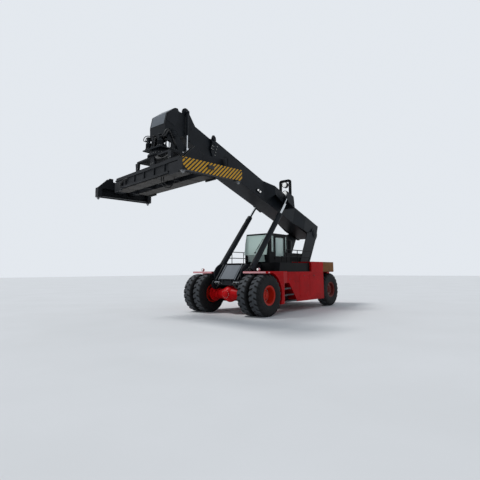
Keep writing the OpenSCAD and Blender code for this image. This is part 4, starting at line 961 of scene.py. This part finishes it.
mesh = bmesh.new()
for _, side in SIDES:
    outlined_plate(mesh, DOUBLER, side * 0.004, BOOM @ Matrix.Translation((0, side * 0.4412, 0)), 0.001)
finish("nose_doubler_sheets", mesh, frame_paint, "inner_boom_body")

# %% [markdown]
# The tilt cylinders' pins go through ears above the nose. Each has a cover with a
# ring of bolts inside and a smaller one at its outer end. They are turned parts
# with the rim taken off, because a bare disc would look cut out of card.

# %% Covers of the tilt cylinders' pins
TILT_PIN = (10.051, 0.852)
mesh = bmesh.new()
for _, side in SIDES:
    out = (0, side, 0)
    u, v = TILT_PIN
    round_cover(mesh, (u, side * 0.4352, v), out, 0.150, 0.012, BOOM, 40)
    bolt_circle(mesh, (u, side * 0.447, v), out, 0.125, 8, 0.026, BOOM)
    round_cover(mesh, (u, side * 0.567, v), out, 0.045, 0.024, BOOM, 24, drop=0.005)
    for u, v in ((9.60, 0.40), (9.60, 0.10), (9.85, 0.05), (9.85, 0.45)):
        hex_bolt(mesh, (u, side * 0.435, v), out, 0.030, BOOM)
finish("tilt_pin_covers", mesh, slate_paint, "inner_boom_body")

# %% [markdown]
# Weld beads run along the long corners of the boom: a thin line that catches the
# light, as on real box sections. A bump along the edge would need the surface
# unwrapped, so a bead is a pipe half sunk into the plate.

# %% Weld beads
BEAD = 0.007


def weld_beads(name, half_width, lines, body):
    """Lines are (start, end) points along and above the boom, on both its sides."""
    runs = [straight((u0, side * half_width, v0), (u1, side * half_width, v1))
            for side in (-1, 1) for (u0, v0), (u1, v1) in lines]
    hose(name, runs, BEAD, slate_paint, body, BOOM, sides=1)


weld_beads("outer_boom_welds", 0.4515, (((0.1, -0.150), (8.0, -0.150)), ((0.1, 0.690), (8.28, 0.690))),
           "outer_boom_body")
weld_beads("nose_welds", 0.397, (((9.76, -0.08), (9.76, -0.05)),), "inner_boom_body")

# %% [markdown]
# Lamps show that a machine works at night. A work lamp is a bowl with a rim and a
# clear lens that bulges a little. A bulb behind real glass would look the same
# from here and render slowly, so the lens itself glows. One helper adds both to
# the meshes of the body that carries them, so the rims can be black plastic and
# the lenses bright.

# %% Lamps
lamp_rims = {}
lamp_lenses = {}


def lamp(body, spot, axis, radius, depth=0.05, place=Matrix(), lens="white"):
    rims = lamp_rims.setdefault(body, bmesh.new())
    turned(rims, [(0, 0), (-depth, radius * 0.55), (-depth * 0.4, radius * 0.95), (0, radius), (0.012, radius),
                  (0.016, radius * 0.97), (0.016, radius * 0.88), (0.004, radius * 0.86)], spot, axis, 28, place)
    lenses = lamp_lenses.setdefault((body, lens), bmesh.new())
    turned(lenses, [(0.004, radius * 0.87), (0.012, radius * 0.72), (0.018, radius * 0.4), (0.020, 0)],
           spot, axis, 28, place)


# The foot of the lamp guard, on the boom's sloping top
BOOM_SLOPE = math.radians(18.7)
guard_foot = BOOM @ Vector((2.823, 0, 0.740 + 0.080 * math.tan(BOOM_SLOPE)))
for z in (0.259, 0.701):
    lamp("outer_boom_body", guard_foot + Vector((0.112, 0.455, z)), AHEAD, 0.148)
for u in (4.96, 5.12):
    lamp("outer_boom_body", (u, 0.520, 0.06), (0.5, 0.8, -0.3), 0.055, 0.045, BOOM)
for side in (-1, 1):
    lamp("chassis", (0.112, side * 1.57, 1.83), AHEAD, 0.061)
    lamp("chassis", (-0.60, side * 1.98, 1.585), (0.3, side, -0.2), 0.045, 0.04, lens="amber")
    lamp("chassis", (-7.08, side * 1.18, 1.98), (-1, side * 0.35, 0), 0.055, lens="red")
    lamp("chassis", (-7.14, side * 1.05, 1.98), (-1, side * 0.30, 0), 0.055, lens="amber")
LENSES = {"white": white_lens, "amber": amber_lens, "red": red_lens}
for body, mesh in lamp_rims.items():
    finish(f"{body}_lamp_rims", mesh, black_plastic, body, smooth=True)
for (body, colour), mesh in lamp_lenses.items():
    finish(f"{body}_{colour}_lenses", mesh, LENSES[colour], body, smooth=True)

# %% [markdown]
# The outer boom ends in a collar, which keeps the box from spreading. Its screws
# press wear pads against the inner boom. A strap on each side ends in a greased
# roller, and a plate low on the near side holds two small lamps. All of it is
# placed along and above the boom, in the boom's own frame, since no number would
# be round in a frame that stands level.

# %% Collar and roller of the outer boom
COLLAR_FACE, PAD_FACE, PAD_TOP = 0.485, 0.450, 0.745
STRAP = [(8.30, 0.50), (8.30, 0.70), (8.36, 0.82), (8.47, 0.86), (8.555, 0.80), (8.575, 0.68), (8.53, 0.56),
         (8.45, 0.50)]
mesh = bmesh.new()
for side in (-1, 1):
    out = (0, side, 0)
    for v in (-0.02, 0.12, 0.26, 0.40, 0.54):
        hex_bolt(mesh, (8.12, side * PAD_FACE, v), out, 0.030, BOOM)
    for v in (0.26, 0.40, 0.54):
        for u in (8.34, 8.41):
            hex_bolt(mesh, (u, side * COLLAR_FACE, v), out, 0.030, BOOM)
for y in (-0.30, -0.15, 0.15, 0.30):
    for u in (8.33, 8.42):
        hex_bolt(mesh, (u, y, PAD_TOP), UP, 0.030, BOOM)
finish("collar_bolts", mesh, zinc_bolt, "outer_boom_body")

mesh = bmesh.new()
for side in (-1, 1):
    strap_place = BOOM @ Matrix.Translation((0, side * (COLLAR_FACE + 0.001), 0))
    outlined_plate(mesh, STRAP, side * 0.02, strap_place)
    turned(mesh, [(0, 0.085), (0.05, 0.085), (0.056, 0.079), (0.056, 0.04), (0.044, 0.035), (0.044, 0)],
           (8.455, side * (COLLAR_FACE + 0.021), 0.700), (0, side, 0), 32, BOOM)
plate(mesh, (8.31, -0.45, PAD_TOP + 0.0005), (8.44, 0.45, PAD_TOP + 0.017), BOOM)
plate(mesh, (4.90, PAD_FACE + 0.0005, 0.00), (5.18, PAD_FACE + 0.025, 0.12), BOOM)
finish("collar_roller_and_brackets", mesh, slate_paint, "outer_boom_body")

# %% [markdown]
# The spreader's oil goes through four steel tubes along the top of the boom, far
# side, in bolted clamps of black plastic. Two short tubes run along the far web.
# A loop sets the clamps at even steps, as a fitter does.

# %% Tubes on the boom
top_tubes = [straight((0.30, y, PAD_TOP), (8.20, y, PAD_TOP)) for y in (-0.30, -0.255, -0.21, -0.165)]
web_tubes = [[(0.9, -0.468, v), (2.1, -0.468, v)] for v in (0.10, 0.15)]
hose("boom_tubes", top_tubes + web_tubes, 0.013, slate_paint, "outer_boom_body", BOOM)
mesh = bmesh.new()
for i in range(9):
    u = 0.5 + i * 0.95
    plate(mesh, (u - 0.03, -0.335, 0.7105), (u + 0.03, -0.13, 0.765), BOOM)
    for y in (-0.322, -0.143):
        hex_bolt(mesh, (u, y, 0.765), UP, 0.018, BOOM)
finish("boom_tube_clamps", mesh, black_plastic, "outer_boom_body")

# %% [markdown]
# A lift cylinder's barrel ends in a gland: a screwed collar with a wiper ring that
# keeps dirt off the chromed rod. It stands only 6 mm past the barrel, since the
# rod's eye comes close to it when the boom is down. An oil line runs along the
# barrel from its foot, between two blocks, and three bands go round the barrel.

# %% Glands, bands and oil lines of the lift cylinders
BARREL_END, CYLINDER_Y = 3.70, 0.900
GLAND = [(0, 0.120), (-0.16, 0.120), (-0.16, 0.129), (-0.11, 0.129), (-0.11, 0.1235), (0, 0.1235),
         (0.003, 0.118), (0.003, 0.085), (0.006, 0.080), (0.006, 0.068)]
BAND = [(0, 0.1252), (0, 0.131), (0.05, 0.131), (0.05, 0.1252)]
mesh = bmesh.new()
lines = []
for side in (-1, 1):
    y = side * CYLINDER_Y
    turned(mesh, GLAND, (BARREL_END, y, 0), AHEAD, 40, LIFT)
    for u in (0.75, 1.9, 3.0):
        turned(mesh, BAND, (u, y, 0), AHEAD, 40, LIFT)
    plate(mesh, (0.40, y - 0.035, -0.165), (0.52, y + 0.035, -0.118), LIFT, 0.006)
    plate(mesh, (3.36, y - 0.03, -0.155), (3.46, y + 0.03, -0.118), LIFT, 0.006)
    lines.append([(0.46, y, -0.150), (0.62, y, -0.158), (1.9, y, -0.146), (3.2, y, -0.150), (3.40, y, -0.135)])
    lines.append([(0.40, y, -0.140), (0.20, y + side * 0.01, -0.17), (0.02, y, -0.26),
                  (-0.12, y - side * 0.08, -0.30)])
finish("lift_cylinder_glands", mesh, slate_paint, "lift_barrel_pair")
hose("lift_cylinder_oil_lines", lines, 0.014, hose_rubber, "lift_barrel_pair", LIFT)

# %% [markdown]
# The front box stands before the driver. The lift cylinders' foot pins have covers
# on its sides, with rings of bolts, and a row of bolts runs along its front. The
# panels between the ribs are bolted down, because valves and lines sit under them.
# Their light grey is painted highlight, for the sky's light on dark steel. They lie
# in a frame that follows the slope, so each is a plain plate there.

# %% Bolts and panels of the front box
FOOT_PIN_X, FOOT_PIN_Z, BOX_SIDE = -0.13, 1.60, 0.7655
PANELS = ((-0.575, -0.445), (-0.385, -0.255), (-0.205, 0.205), (0.255, 0.385), (0.445, 0.575))
mesh = bmesh.new()
for side in (-1, 1):
    out = (0, side, 0)
    round_cover(mesh, (FOOT_PIN_X, side * 0.970, FOOT_PIN_Z), out, 0.085, 0.018, drop=0.005)
    bolt_circle(mesh, (FOOT_PIN_X, side * 0.986, FOOT_PIN_Z), out, 0.060, 6, 0.024)
    for x, z in ((0.06, 1.10), (0.06, 1.34), (-0.62, 1.10), (-0.62, 1.80), (-0.30, 1.92)):
        hex_bolt(mesh, (x, side * BOX_SIDE, z), out, 0.034)
    for y in (0.66, 0.50, 0.31):
        hex_bolt(mesh, (0.192, side * y, 1.26), AHEAD, 0.032)
finish("front_box_bolts", mesh, zinc_bolt, "chassis")

slope = frame_between(Vector((0.062, 0, 1.4015)), Vector((-0.30, 0, 1.951)))
mesh = bmesh.new()
for y0, y1 in PANELS:
    plate(mesh, (0.03, y0, 0.0), (0.60, y1, 0.007), slope, 0.002)
    for u in (0.07, 0.56):
        for y in (y0 + 0.03, y1 - 0.03):
            hex_bolt(mesh, (u, y, 0.007), UP, 0.018, slope)
finish("front_box_panels", mesh, highlight_grey_paint, "chassis")

# %% [markdown]
# Two brake lines on each side run from the box to the drums on the axle. The axle
# has a ring of bolts at each drum and another round the differential's cover, a
# stepped dome that comes forwards out of the round housing. The dome is turned
# from its outline and shaded smooth, because it is a casting.

# %% Brake lines and the drive axle
AXLE_Z = wheel_centres["front", "left"][2]
BRAKE_RUNS = (
    [(0.19, 0.30, 1.30), (0.26, 0.34, 1.26), (0.30, 0.48, 1.12), (0.24, 0.62, 1.02), (0.14, 0.78, 1.04)],
    [(0.19, 0.36, 1.30), (0.25, 0.42, 1.24), (0.27, 0.54, 1.10), (0.20, 0.66, 1.02), (0.10, 0.76, 1.03)])
DIFFERENTIAL_COVER = [(0, 0.192), (0.030, 0.192), (0.036, 0.186), (0.036, 0.150), (0.062, 0.138), (0.086, 0.108),
                      (0.101, 0.060), (0.106, 0)]
hose("brake_lines", [mirrored(run, side) for run in BRAKE_RUNS for side in (-1, 1)], 0.011, hose_rubber, "chassis")

mesh = bmesh.new()
for side in (-1, 1):
    bolt_circle(mesh, (0, side * 0.820, AXLE_Z), (0, side, 0), 0.20, 16, 0.026)
bolt_circle(mesh, (0.296, 0, AXLE_Z), AHEAD, 0.166, 12, 0.022)
finish("drive_axle_bolts", mesh, zinc_bolt, "chassis")

mesh = bmesh.new()
turned(mesh, DIFFERENTIAL_COVER, (0.262, 0, AXLE_Z), AHEAD, 48)
finish("differential_cover", mesh, axle_paint, "chassis", smooth=True)

# %% [markdown]
# The side bodies are red boxes of thin sheet that hold oil and fuel. Hatch lids
# with their latches, a filler cap and rows of small screws tell their size. A lid
# is a plate that stands 4 mm proud with its edges broken.

# %% Hatches, caps and screws on the side bodies
FLANK = 1.7503  # the side body's face, and a hair's breadth off it
LID = 1.7545
SCREW_FOOT = 1.7505
mesh = bmesh.new()
screws = bmesh.new()
latches = bmesh.new()
for x0, x1, z0, z1 in ((-3.55, -2.75, 0.62, 1.60), (-4.45, -3.65, 0.62, 1.60), (-2.20, -1.80, 1.34, 1.66)):
    plate_pair(mesh, (x0, FLANK, z0), (x1, LID, z1), edge=0.0015)
for x in (-3.15, -4.05):
    plate_pair(latches, (x - 0.05, LID, 1.53), (x + 0.05, 1.772, 1.56))
for side in (-1, 1):
    out = (0, side, 0)
    for x in (-3.50, -2.80, -4.40, -3.70):
        for z in (0.68, 1.11, 1.54):
            hex_bolt(screws, (x, side * LID, z), out, 0.020)
    for x in (-2.62, -2.40, -1.80):
        hex_bolt(screws, (x, side * SCREW_FOOT, 1.30), out, 0.022)
    for i in range(9):
        for z in (0.50, 1.675):
            hex_bolt(screws, (-4.92 + i * 0.28, side * SCREW_FOOT, z), out, 0.018)
    for x in (-1.96, -1.90):
        knob(latches, (x, side * LID, 1.40), out, 0.016, 0.012)
    turned(latches, [(0, 0.07), (0.03, 0.07), (0.036, 0.064), (0.036, 0.03), (0.05, 0.026), (0.05, 0)],
           (-2.45, side * 1.55, 1.7305), UP, 28)
finish("side_body_hatches", mesh, red_paint, "chassis")
# The screws take the darker red, which is painted shade.
finish("side_body_screws", screws, shaded_paint, "chassis")
finish("side_body_latches", latches, black_plastic, "chassis")

# %% [markdown]
# On the front box, above the row of bolts, a mechanic finds the couplings where
# oil pressure is measured: four short chromed stubs on each side. Twelve steps are
# round enough for a part as small as a thumb.

# %% Test couplings
mesh = bmesh.new()
for side in (-1, 1):
    for i in range(4):
        knob(mesh, (0.195, side * (0.42 + 0.075 * i), 1.315), AHEAD, 0.022, 0.055, steps=12)
finish("test_couplings", mesh, chrome, "chassis")

# %% [markdown]
# Cast counterweight blocks are lifted into place by threads in their tops, which
# are plugged afterwards. A lighter ledge runs along the brown end blocks, where
# the castings meet. The hood's lids have handles and bolts. Its exhaust is three
# turned parts on one axis: a pipe, its collar and the shield round it.

# %% Counterweight and hood
HOOD_TOP = 2.6405
mesh = bmesh.new()
for side in (-1, 1):
    for x in (-5.35, -6.4):
        knob(mesh, (x, side * 1.45, 2.2003), UP, 0.055, 0.012, steps=24)
finish("lifting_thread_plugs", mesh, zinc_bolt, "chassis")

mesh = bmesh.new()
plate_pair(mesh, (-6.10, FLANK, 2.02), (-5.01, 1.757, 2.10), edge=0.002)
finish("end_block_ledges", mesh, ochre_paint, "chassis")

mesh = bmesh.new()
for x in (-4.60, -4.20):
    plate_pair(mesh, (x - 0.07, 0.6205, 2.585), (x + 0.07, 0.650, 2.600))
for y in (-0.56, 0.56):
    for i in range(6):
        hex_bolt(mesh, (-4.82 + i * 0.2, y, HOOD_TOP - 0.0005), UP, 0.020)
for height, pipe in ((HOOD_TOP, [(0, 0.075), (0.46, 0.075), (0.46, 0.066), (0.0, 0.066)]),
                     (HOOD_TOP, [(0, 0.11), (0.02, 0.11), (0.03, 0.085), (0.03, 0.075)]),
                     (2.70, [(0, 0.13), (0.30, 0.13), (0.33, 0.10), (0.33, 0.076)])):
    turned(mesh, pipe, (-4.60, -0.30, height), UP)
finish("hood_handles_and_exhaust", mesh, black_paint, "chassis")

# %% [markdown]
# Through the glass one sees the driver's place. The seat's fabric is woven, and
# the weave is so fine that it only softens the light: a wave pattern as a bump
# does that without a single thread.

# %% The seat's fabric
def seat_fabric():
    material, tree, surface, place = new_material("woven_seat_fabric")
    weave = add(tree, "ShaderNodeTexWave", {"Vector": place, "Scale": 160.0, "Distortion": 0.5}).outputs["Fac"]
    wire(tree, surface, {
        "Base Color": blend_colours(tree, noise(tree, place, 12.0, 5.0), "#22252a", "#34383e"),
        "Roughness": 0.9,
        "Normal": bump(tree, weave, 0.3, 0.001),
    })
    return material


woven_fabric = seat_fabric()
print("fabric:", woven_fabric.name)

# %% [markdown]
# Cushions swell between their seams, so each is a rounded block whose faces are
# crowned in mesh code and cut by sewn channels, then smoothed by a subdivision
# surface. Cloth simulation would look the same at this distance behind tinted
# glass. A cushion's size is given before it is crowned.

# %% The driver's seat
CAB_FLOOR, SEAT_X = 2.13, -3.04
SEAM_WIDTH = 9  # the higher, the narrower


def cushion(name, size, place, crown, seams):
    """A padded block: crowned on its open side, pulled in along its seams."""
    mesh = bmesh.new()
    bmesh.ops.create_cube(mesh, size=1, matrix=Matrix.Diagonal((*size, 1)))
    bmesh.ops.subdivide_edges(mesh, edges=mesh.edges[:], cuts=11, use_grid_fill=True)
    for corner in mesh.verts:
        x, y, z = (2 * corner.co[i] / size[i] for i in range(3))
        swell = (1 - x ** 4) * (1 - y ** 4)
        channel = max(math.exp(-((y - seam) * SEAM_WIDTH) ** 2) for seam in seams)
        if z > -0.9:
            corner.co.z += crown * swell * (z + 1) / 2 - 0.6 * crown * channel * (z > 0.9)
        pinch = 1 - 0.05 * abs(z) ** 3
        corner.co.x *= pinch
        corner.co.y *= pinch
    bmesh.ops.smooth_vert(mesh, verts=mesh.verts[:], factor=0.35,
                          use_axis_x=True, use_axis_y=True, use_axis_z=True)
    bmesh.ops.transform(mesh, matrix=place, verts=mesh.verts)
    piece = finish(name, mesh, woven_fabric, "chassis", smooth=True)
    finer = piece.modifiers.new("finer", "SUBSURF")
    finer.levels = finer.render_levels = 1


def from_seat(x, z):
    return Matrix.Translation((SEAT_X + x, 0, CAB_FLOOR + z))


back_lean = from_seat(-0.165, 0.45) @ Matrix.Rotation(math.radians(-8), 4, "Y")
upright = Matrix.Rotation(math.radians(90), 4, "Y")
back_place = back_lean @ Matrix.Translation((0.035, 0, 0.31)) @ upright
head_place = back_lean @ Matrix.Translation((0.03, 0, 0.69)) @ upright
cushion("seat_cushion", (0.50, 0.51, 0.11), from_seat(0.005, 0.405), 0.035, (-0.5, 0.5))
cushion("seat_back", (0.58, 0.48, 0.09), back_place, 0.03, (-0.5, 0.5))
cushion("seat_head_rest", (0.16, 0.28, 0.09), head_place, 0.02, (0.0,))

# %% [markdown]
# The seat stands on a sprung base under a folded boot, and an arm rest with a
# joystick stands beside it. They replace the plain block of the CAD model and
# keep its places, so the driver's room stays as it is.

# %% Base and console
seat = from_seat(0, 0)
mesh = bmesh.new()
plate(mesh, (-0.18, -0.18, 0), (0.18, 0.18, 0.06), seat, 0.01)
for i in range(5):
    half = 0.165 - 0.008 * (i % 2)
    plate(mesh, (-half, -half, 0.062 + i * 0.05), (half, half, 0.108 + i * 0.05), seat, 0.012)
plate(mesh, (-0.24, -0.24, 0.315), (0.24, 0.24, 0.348), seat, 0.01)
plate(mesh, (-0.05, -0.235, 0.0), (-0.012, 0.235, 0.60), back_lean, 0.015)
plate(mesh, (-0.03, -0.06, 0.58), (-0.01, 0.06, 0.70), back_lean, 0.006)
plate(mesh, (-0.10, -0.44, 0), (0.42, -0.29, 0.50), seat, 0.02)
plate(mesh, (-0.08, -0.43, 0.50), (0.22, -0.30, 0.555), seat, 0.02)
knob(mesh, (0.30, -0.365, 0.50), (0.15, 0, 1), 0.022, 0.13, seat, steps=16, edge=0.5)
finish("seat_base_and_console", mesh, black_plastic, "chassis")

# %% [markdown]
# The steering column leans back towards the seat. Its wheel is a ring with three
# spokes and the knob that a driver turns it by with one hand. Beside it a small
# dark screen stands on its bracket.

# %% Steering wheel and screen
WHEEL_UP, WHEEL_RADIUS, WHEEL_GRIP = 0.58, 0.19, 0.016
COLUMN_TUBE = [(0, 0), (0, 0.07), (0.05, 0.055), (0.40, 0.050), (0.50, 0.062), (0.57, 0.055), (0.60, 0.03),
               (0.60, 0)]
column = Matrix.Translation((-2.34, 0, CAB_FLOOR + 0.02)) @ Matrix.Rotation(math.radians(-12), 4, "Y")
mesh = bmesh.new()
plate(mesh, (-2.44, -0.11, CAB_FLOOR), (-2.24, 0.11, CAB_FLOOR + 0.035), edge=0.01)
turned(mesh, COLUMN_TUBE, (0, 0, 0), UP, 24, column)
grip_angles = [i * math.tau / 10 for i in range(11)]
rim_circle = [(WHEEL_UP + math.sin(t) * WHEEL_GRIP, WHEEL_RADIUS + math.cos(t) * WHEEL_GRIP) for t in grip_angles]
turned(mesh, rim_circle, (0, 0, 0), UP, 40, column)
for i in range(3):
    spoke = column @ Matrix.Rotation(math.tau * i / 3, 4, "Z")
    plate(mesh, (0.02, -0.018, 0.572), (0.185, 0.018, 0.588), spoke)
knob(mesh, (0, 0, 0.575), UP, 0.05, 0.03, column, 24, 0.4)
knob(mesh, (0, WHEEL_RADIUS, WHEEL_UP), UP, 0.022, 0.07, column, 16, 0.4)
steering = finish("steering_column_and_wheel", mesh, black_plastic, "chassis")
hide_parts("cab_interior")

mesh = bmesh.new()
screen = Matrix.Translation((-2.06, -0.42, CAB_FLOOR + 0.70)) @ Matrix.Rotation(math.radians(20), 4, "Z")
plate(mesh, (-0.012, -0.13, -0.09), (0.018, 0.13, 0.09), screen, 0.008)
plate(mesh, (0.0, -0.02, -0.30), (0.016, 0.02, -0.09), screen)
finish("cab_screen", mesh, black_plastic, "chassis")

# %% [markdown]
# A cab's panes sit in rubber profiles: closed runs of straight tubes round the
# corners of each opening. The door's pane moves with the door. A profile swept
# round the opening would turn its corners more neatly, but these are 20 mm thick
# and black, and the helper for tubes is there already.

# %% Rubber profiles
DOOR_BACK, DOOR_FRONT, SILL, HEADER = -3.18, -2.34, 2.64, 3.40
CAB_SIDE, SCREEN_HALF, DOOR_MARGIN = 0.701, 0.55, 0.07
SCREEN_FOOT, SCREEN_TOP = Vector((-1.785, 0, 2.60)), Vector((-1.975, 0, 3.40))


def pane_rubber(name, corners, radius=0.010, body="chassis"):
    runs = [straight(start, end) for start, end in zip(corners, corners[1:] + corners[:1])]
    hose(name, runs, radius, hose_rubber, body, sides=2)


def side_pane(x0, x1, z0=SILL, z1=HEADER):
    return [(x0, CAB_SIDE, z0), (x1, CAB_SIDE, z0), (x1, CAB_SIDE, z1), (x0, CAB_SIDE, z1)]


half = Vector((0, SCREEN_HALF, 0))
windscreen = [SCREEN_FOOT - half, SCREEN_FOOT + half, SCREEN_TOP + half, SCREEN_TOP - half]
pane_rubber("windscreen_rubber", windscreen, 0.012)
pane_rubber("front_side_pane_rubber", side_pane(-2.28, -2.08))
pane_rubber("rear_side_pane_rubber", side_pane(-3.37, -3.24))
door_pane = side_pane(DOOR_BACK + DOOR_MARGIN, DOOR_FRONT - DOOR_MARGIN, SILL - 0.20, HEADER - DOOR_MARGIN)
pane_rubber("door_pane_rubber", door_pane, body="door")

# %% [markdown]
# The door has a handle, and the windscreen a wiper with its arm. The windscreen is
# bonded over the pillars, so its glass reaches past the opening, and a second thin
# sheet in front of the CAD model's pane shows that.

# %% Handle, wiper and windscreen
mesh = bmesh.new()
for (x0, y0, z0), (x1, y1, z1) in (((0.015, 0.7005, 2.40), (0.055, 0.722, 2.56)),
                                   ((0.020, 0.722, 2.42), (0.05, 0.745, 2.45)),
                                   ((0.020, 0.735, 2.42), (0.05, 0.752, 2.54))):
    plate(mesh, (DOOR_BACK + x0, y0, z0), (DOOR_BACK + x1, y1, z1), edge=0.006)
finish("door_handle", mesh, black_plastic, "door")

lean = frame_at(SCREEN_FOOT + AHEAD * 0.012, (SCREEN_TOP - SCREEN_FOOT).normalized())
arm = lean @ Matrix.Translation((0.01, 0, -0.03)) @ Matrix.Rotation(math.radians(28), 4, "Z")
mesh = bmesh.new()
plate(mesh, (-0.02, -0.05, -0.035), (0.03, 0.05, -0.004), lean, 0.008)
plate(mesh, (0, -0.009, -0.006), (0.46, 0.009, 0.006), arm, 0.003)
plate(mesh, (0.18, -0.006, 0.008), (0.74, 0.006, 0.020), arm, 0.003)
finish("windscreen_wiper", mesh, black_plastic, "chassis")

mesh = bmesh.new()
plate(mesh, (-0.10, -0.66, -0.009), (0.85, 0.66, -0.004), lean, 0.002)
finish("bonded_windscreen_edge", mesh, green_glass, "chassis")

# %% [markdown]
# The driver climbs up three treads in the side body's recess. Each tread is a
# plate that reaches from the wheel arch to the recess's slanted wall, with a
# lighter edge so that a foot finds it. A black sheet at the back of the recess is
# painted shade, for the shade that falls into it.

# %% Treads of the steps, and painted shade in their recess
LYING = Matrix(((1, 0, 0, 0), (0, 0, 1, 0), (0, -1, 0, 0), (0, 0, 0, 1)))  # turns a plate's thickness downwards
ARCH_X, FLARE_X = -1.19, -1.75  # the side body widens from FLARE_X forwards to the wheel arch
LOW_TREAD, RISE = 0.512, 0.27
WALL_X, WALL_Z, WALL_SLANT = -2.50, 0.44, 0.81
# The outline of the black sheet that is painted shade at the back of the recess.
RECESS_SHADE = [(ARCH_X, 0.44), (-2.53, 0.44), (-1.877, 1.25), (ARCH_X, 1.25)]


def mirrored_outline(points, side):
    return [(x, side * y) for x, y in points]


edges = bmesh.new()
gratings = bmesh.new()
recess_shade = bmesh.new()
for side in (-1, 1):
    for i in range(3):
        top = LOW_TREAD + RISE * i
        back = WALL_X + (top - WALL_Z) * WALL_SLANT
        level = Matrix.Translation((0, 0, top)) @ LYING
        tread = [(ARCH_X, 1.36), (back, 1.36), (back, 1.742), (FLARE_X, 1.742), (ARCH_X, 1.962)]
        outlined_plate(gratings, mirrored_outline(tread, side), 0.020, level, 0.002)
        rim = [(back, 1.744), (FLARE_X, 1.744), (ARCH_X, 1.964), (ARCH_X, 1.976), (FLARE_X - 0.002, 1.756),
               (back, 1.756)]
        outlined_plate(edges, mirrored_outline(rim, side), 0.060, level, 0.002)
    outlined_plate(recess_shade, RECESS_SHADE, side * 0.004, Matrix.Translation((0, side * 1.3302, 0)), 0.001)
finish("step_edges", edges, tread_paint, "chassis")
finish("step_gratings", gratings, black_paint, "chassis")
finish("step_recess_painted_shade", recess_shade, black_plastic, "chassis")

# %% [markdown]
# The wedge of ribs on the front box carries a wide sloped cover, and its ribs have
# caps. Both are made over the CAD model's thinner plates, where the photograph
# shows more, and lie in a frame that follows the slope. The cover and the inner
# caps are light grey as painted highlight, for the sky's light on dark steel.

# %% Sloped cover and rib caps
ramp_low, ramp_high = Vector((0.232, 0, 1.432)), Vector((-0.250, 0, 2.0415))
ramp = frame_between(ramp_low, ramp_high)
ramp_length = (ramp_high - ramp_low).length
mesh = bmesh.new()
plate(mesh, (0.01, -0.385, 0.001), (ramp_length - 0.02, 0.385, 0.009), ramp, 0.003)
for y in (-0.34, 0.34):
    for i in range(4):
        hex_bolt(mesh, (0.07 + i * 0.2, y, 0.009), UP, 0.022, ramp)
finish("sloped_cover", mesh, highlight_grey_paint, "chassis")
for name, y, half, paint in (("inner", 0.445, 0.024, highlight_grey_paint), ("outer", 0.610, 0.032, frame_paint)):
    mesh = bmesh.new()
    plate_pair(mesh, (-0.02, y - half, -0.01), (ramp_length + 0.01, y + half, 0.030), ramp, 0.006)
    finish(f"{name}_rib_caps", mesh, paint, "chassis")

# %% [markdown]
# The guard round the boom's lamps is a stout frame with round corners. It starts
# as one flat face, whose corners are rounded and whose middle is taken out, and
# is then given its thickness.

# %% Lamp guard
GUARD_LEFT, GUARD_RIGHT, GUARD_HIGH = 0.798, 0.112, 0.968
GUARD_BAR, GUARD_CORNER, GUARD_THICK = 0.118, 0.130, 0.092
mesh = bmesh.new()
corners = [mesh.verts.new(guard_foot + Vector((-0.006, y, z))) for y, z in
           ((GUARD_RIGHT, 0), (GUARD_LEFT, 0), (GUARD_LEFT, GUARD_HIGH), (GUARD_RIGHT, GUARD_HIGH))]
mesh.faces.new(corners)
soften(mesh, corners, GUARD_CORNER, 6, "VERTICES")
middle = max(mesh.faces, key=lambda face: face.calc_area())
bmesh.ops.inset_region(mesh, faces=[middle], thickness=GUARD_BAR, use_even_offset=True, use_boundary=True)
bmesh.ops.delete(mesh, geom=[middle], context="FACES")
thick = bmesh.ops.extrude_face_region(mesh, geom=mesh.faces[:])["geom"]
bmesh.ops.translate(mesh, verts=[v for v in thick if isinstance(v, bmesh.types.BMVert)], vec=AHEAD * GUARD_THICK)
finish("lamp_guard", mesh, black_paint, "outer_boom_body")
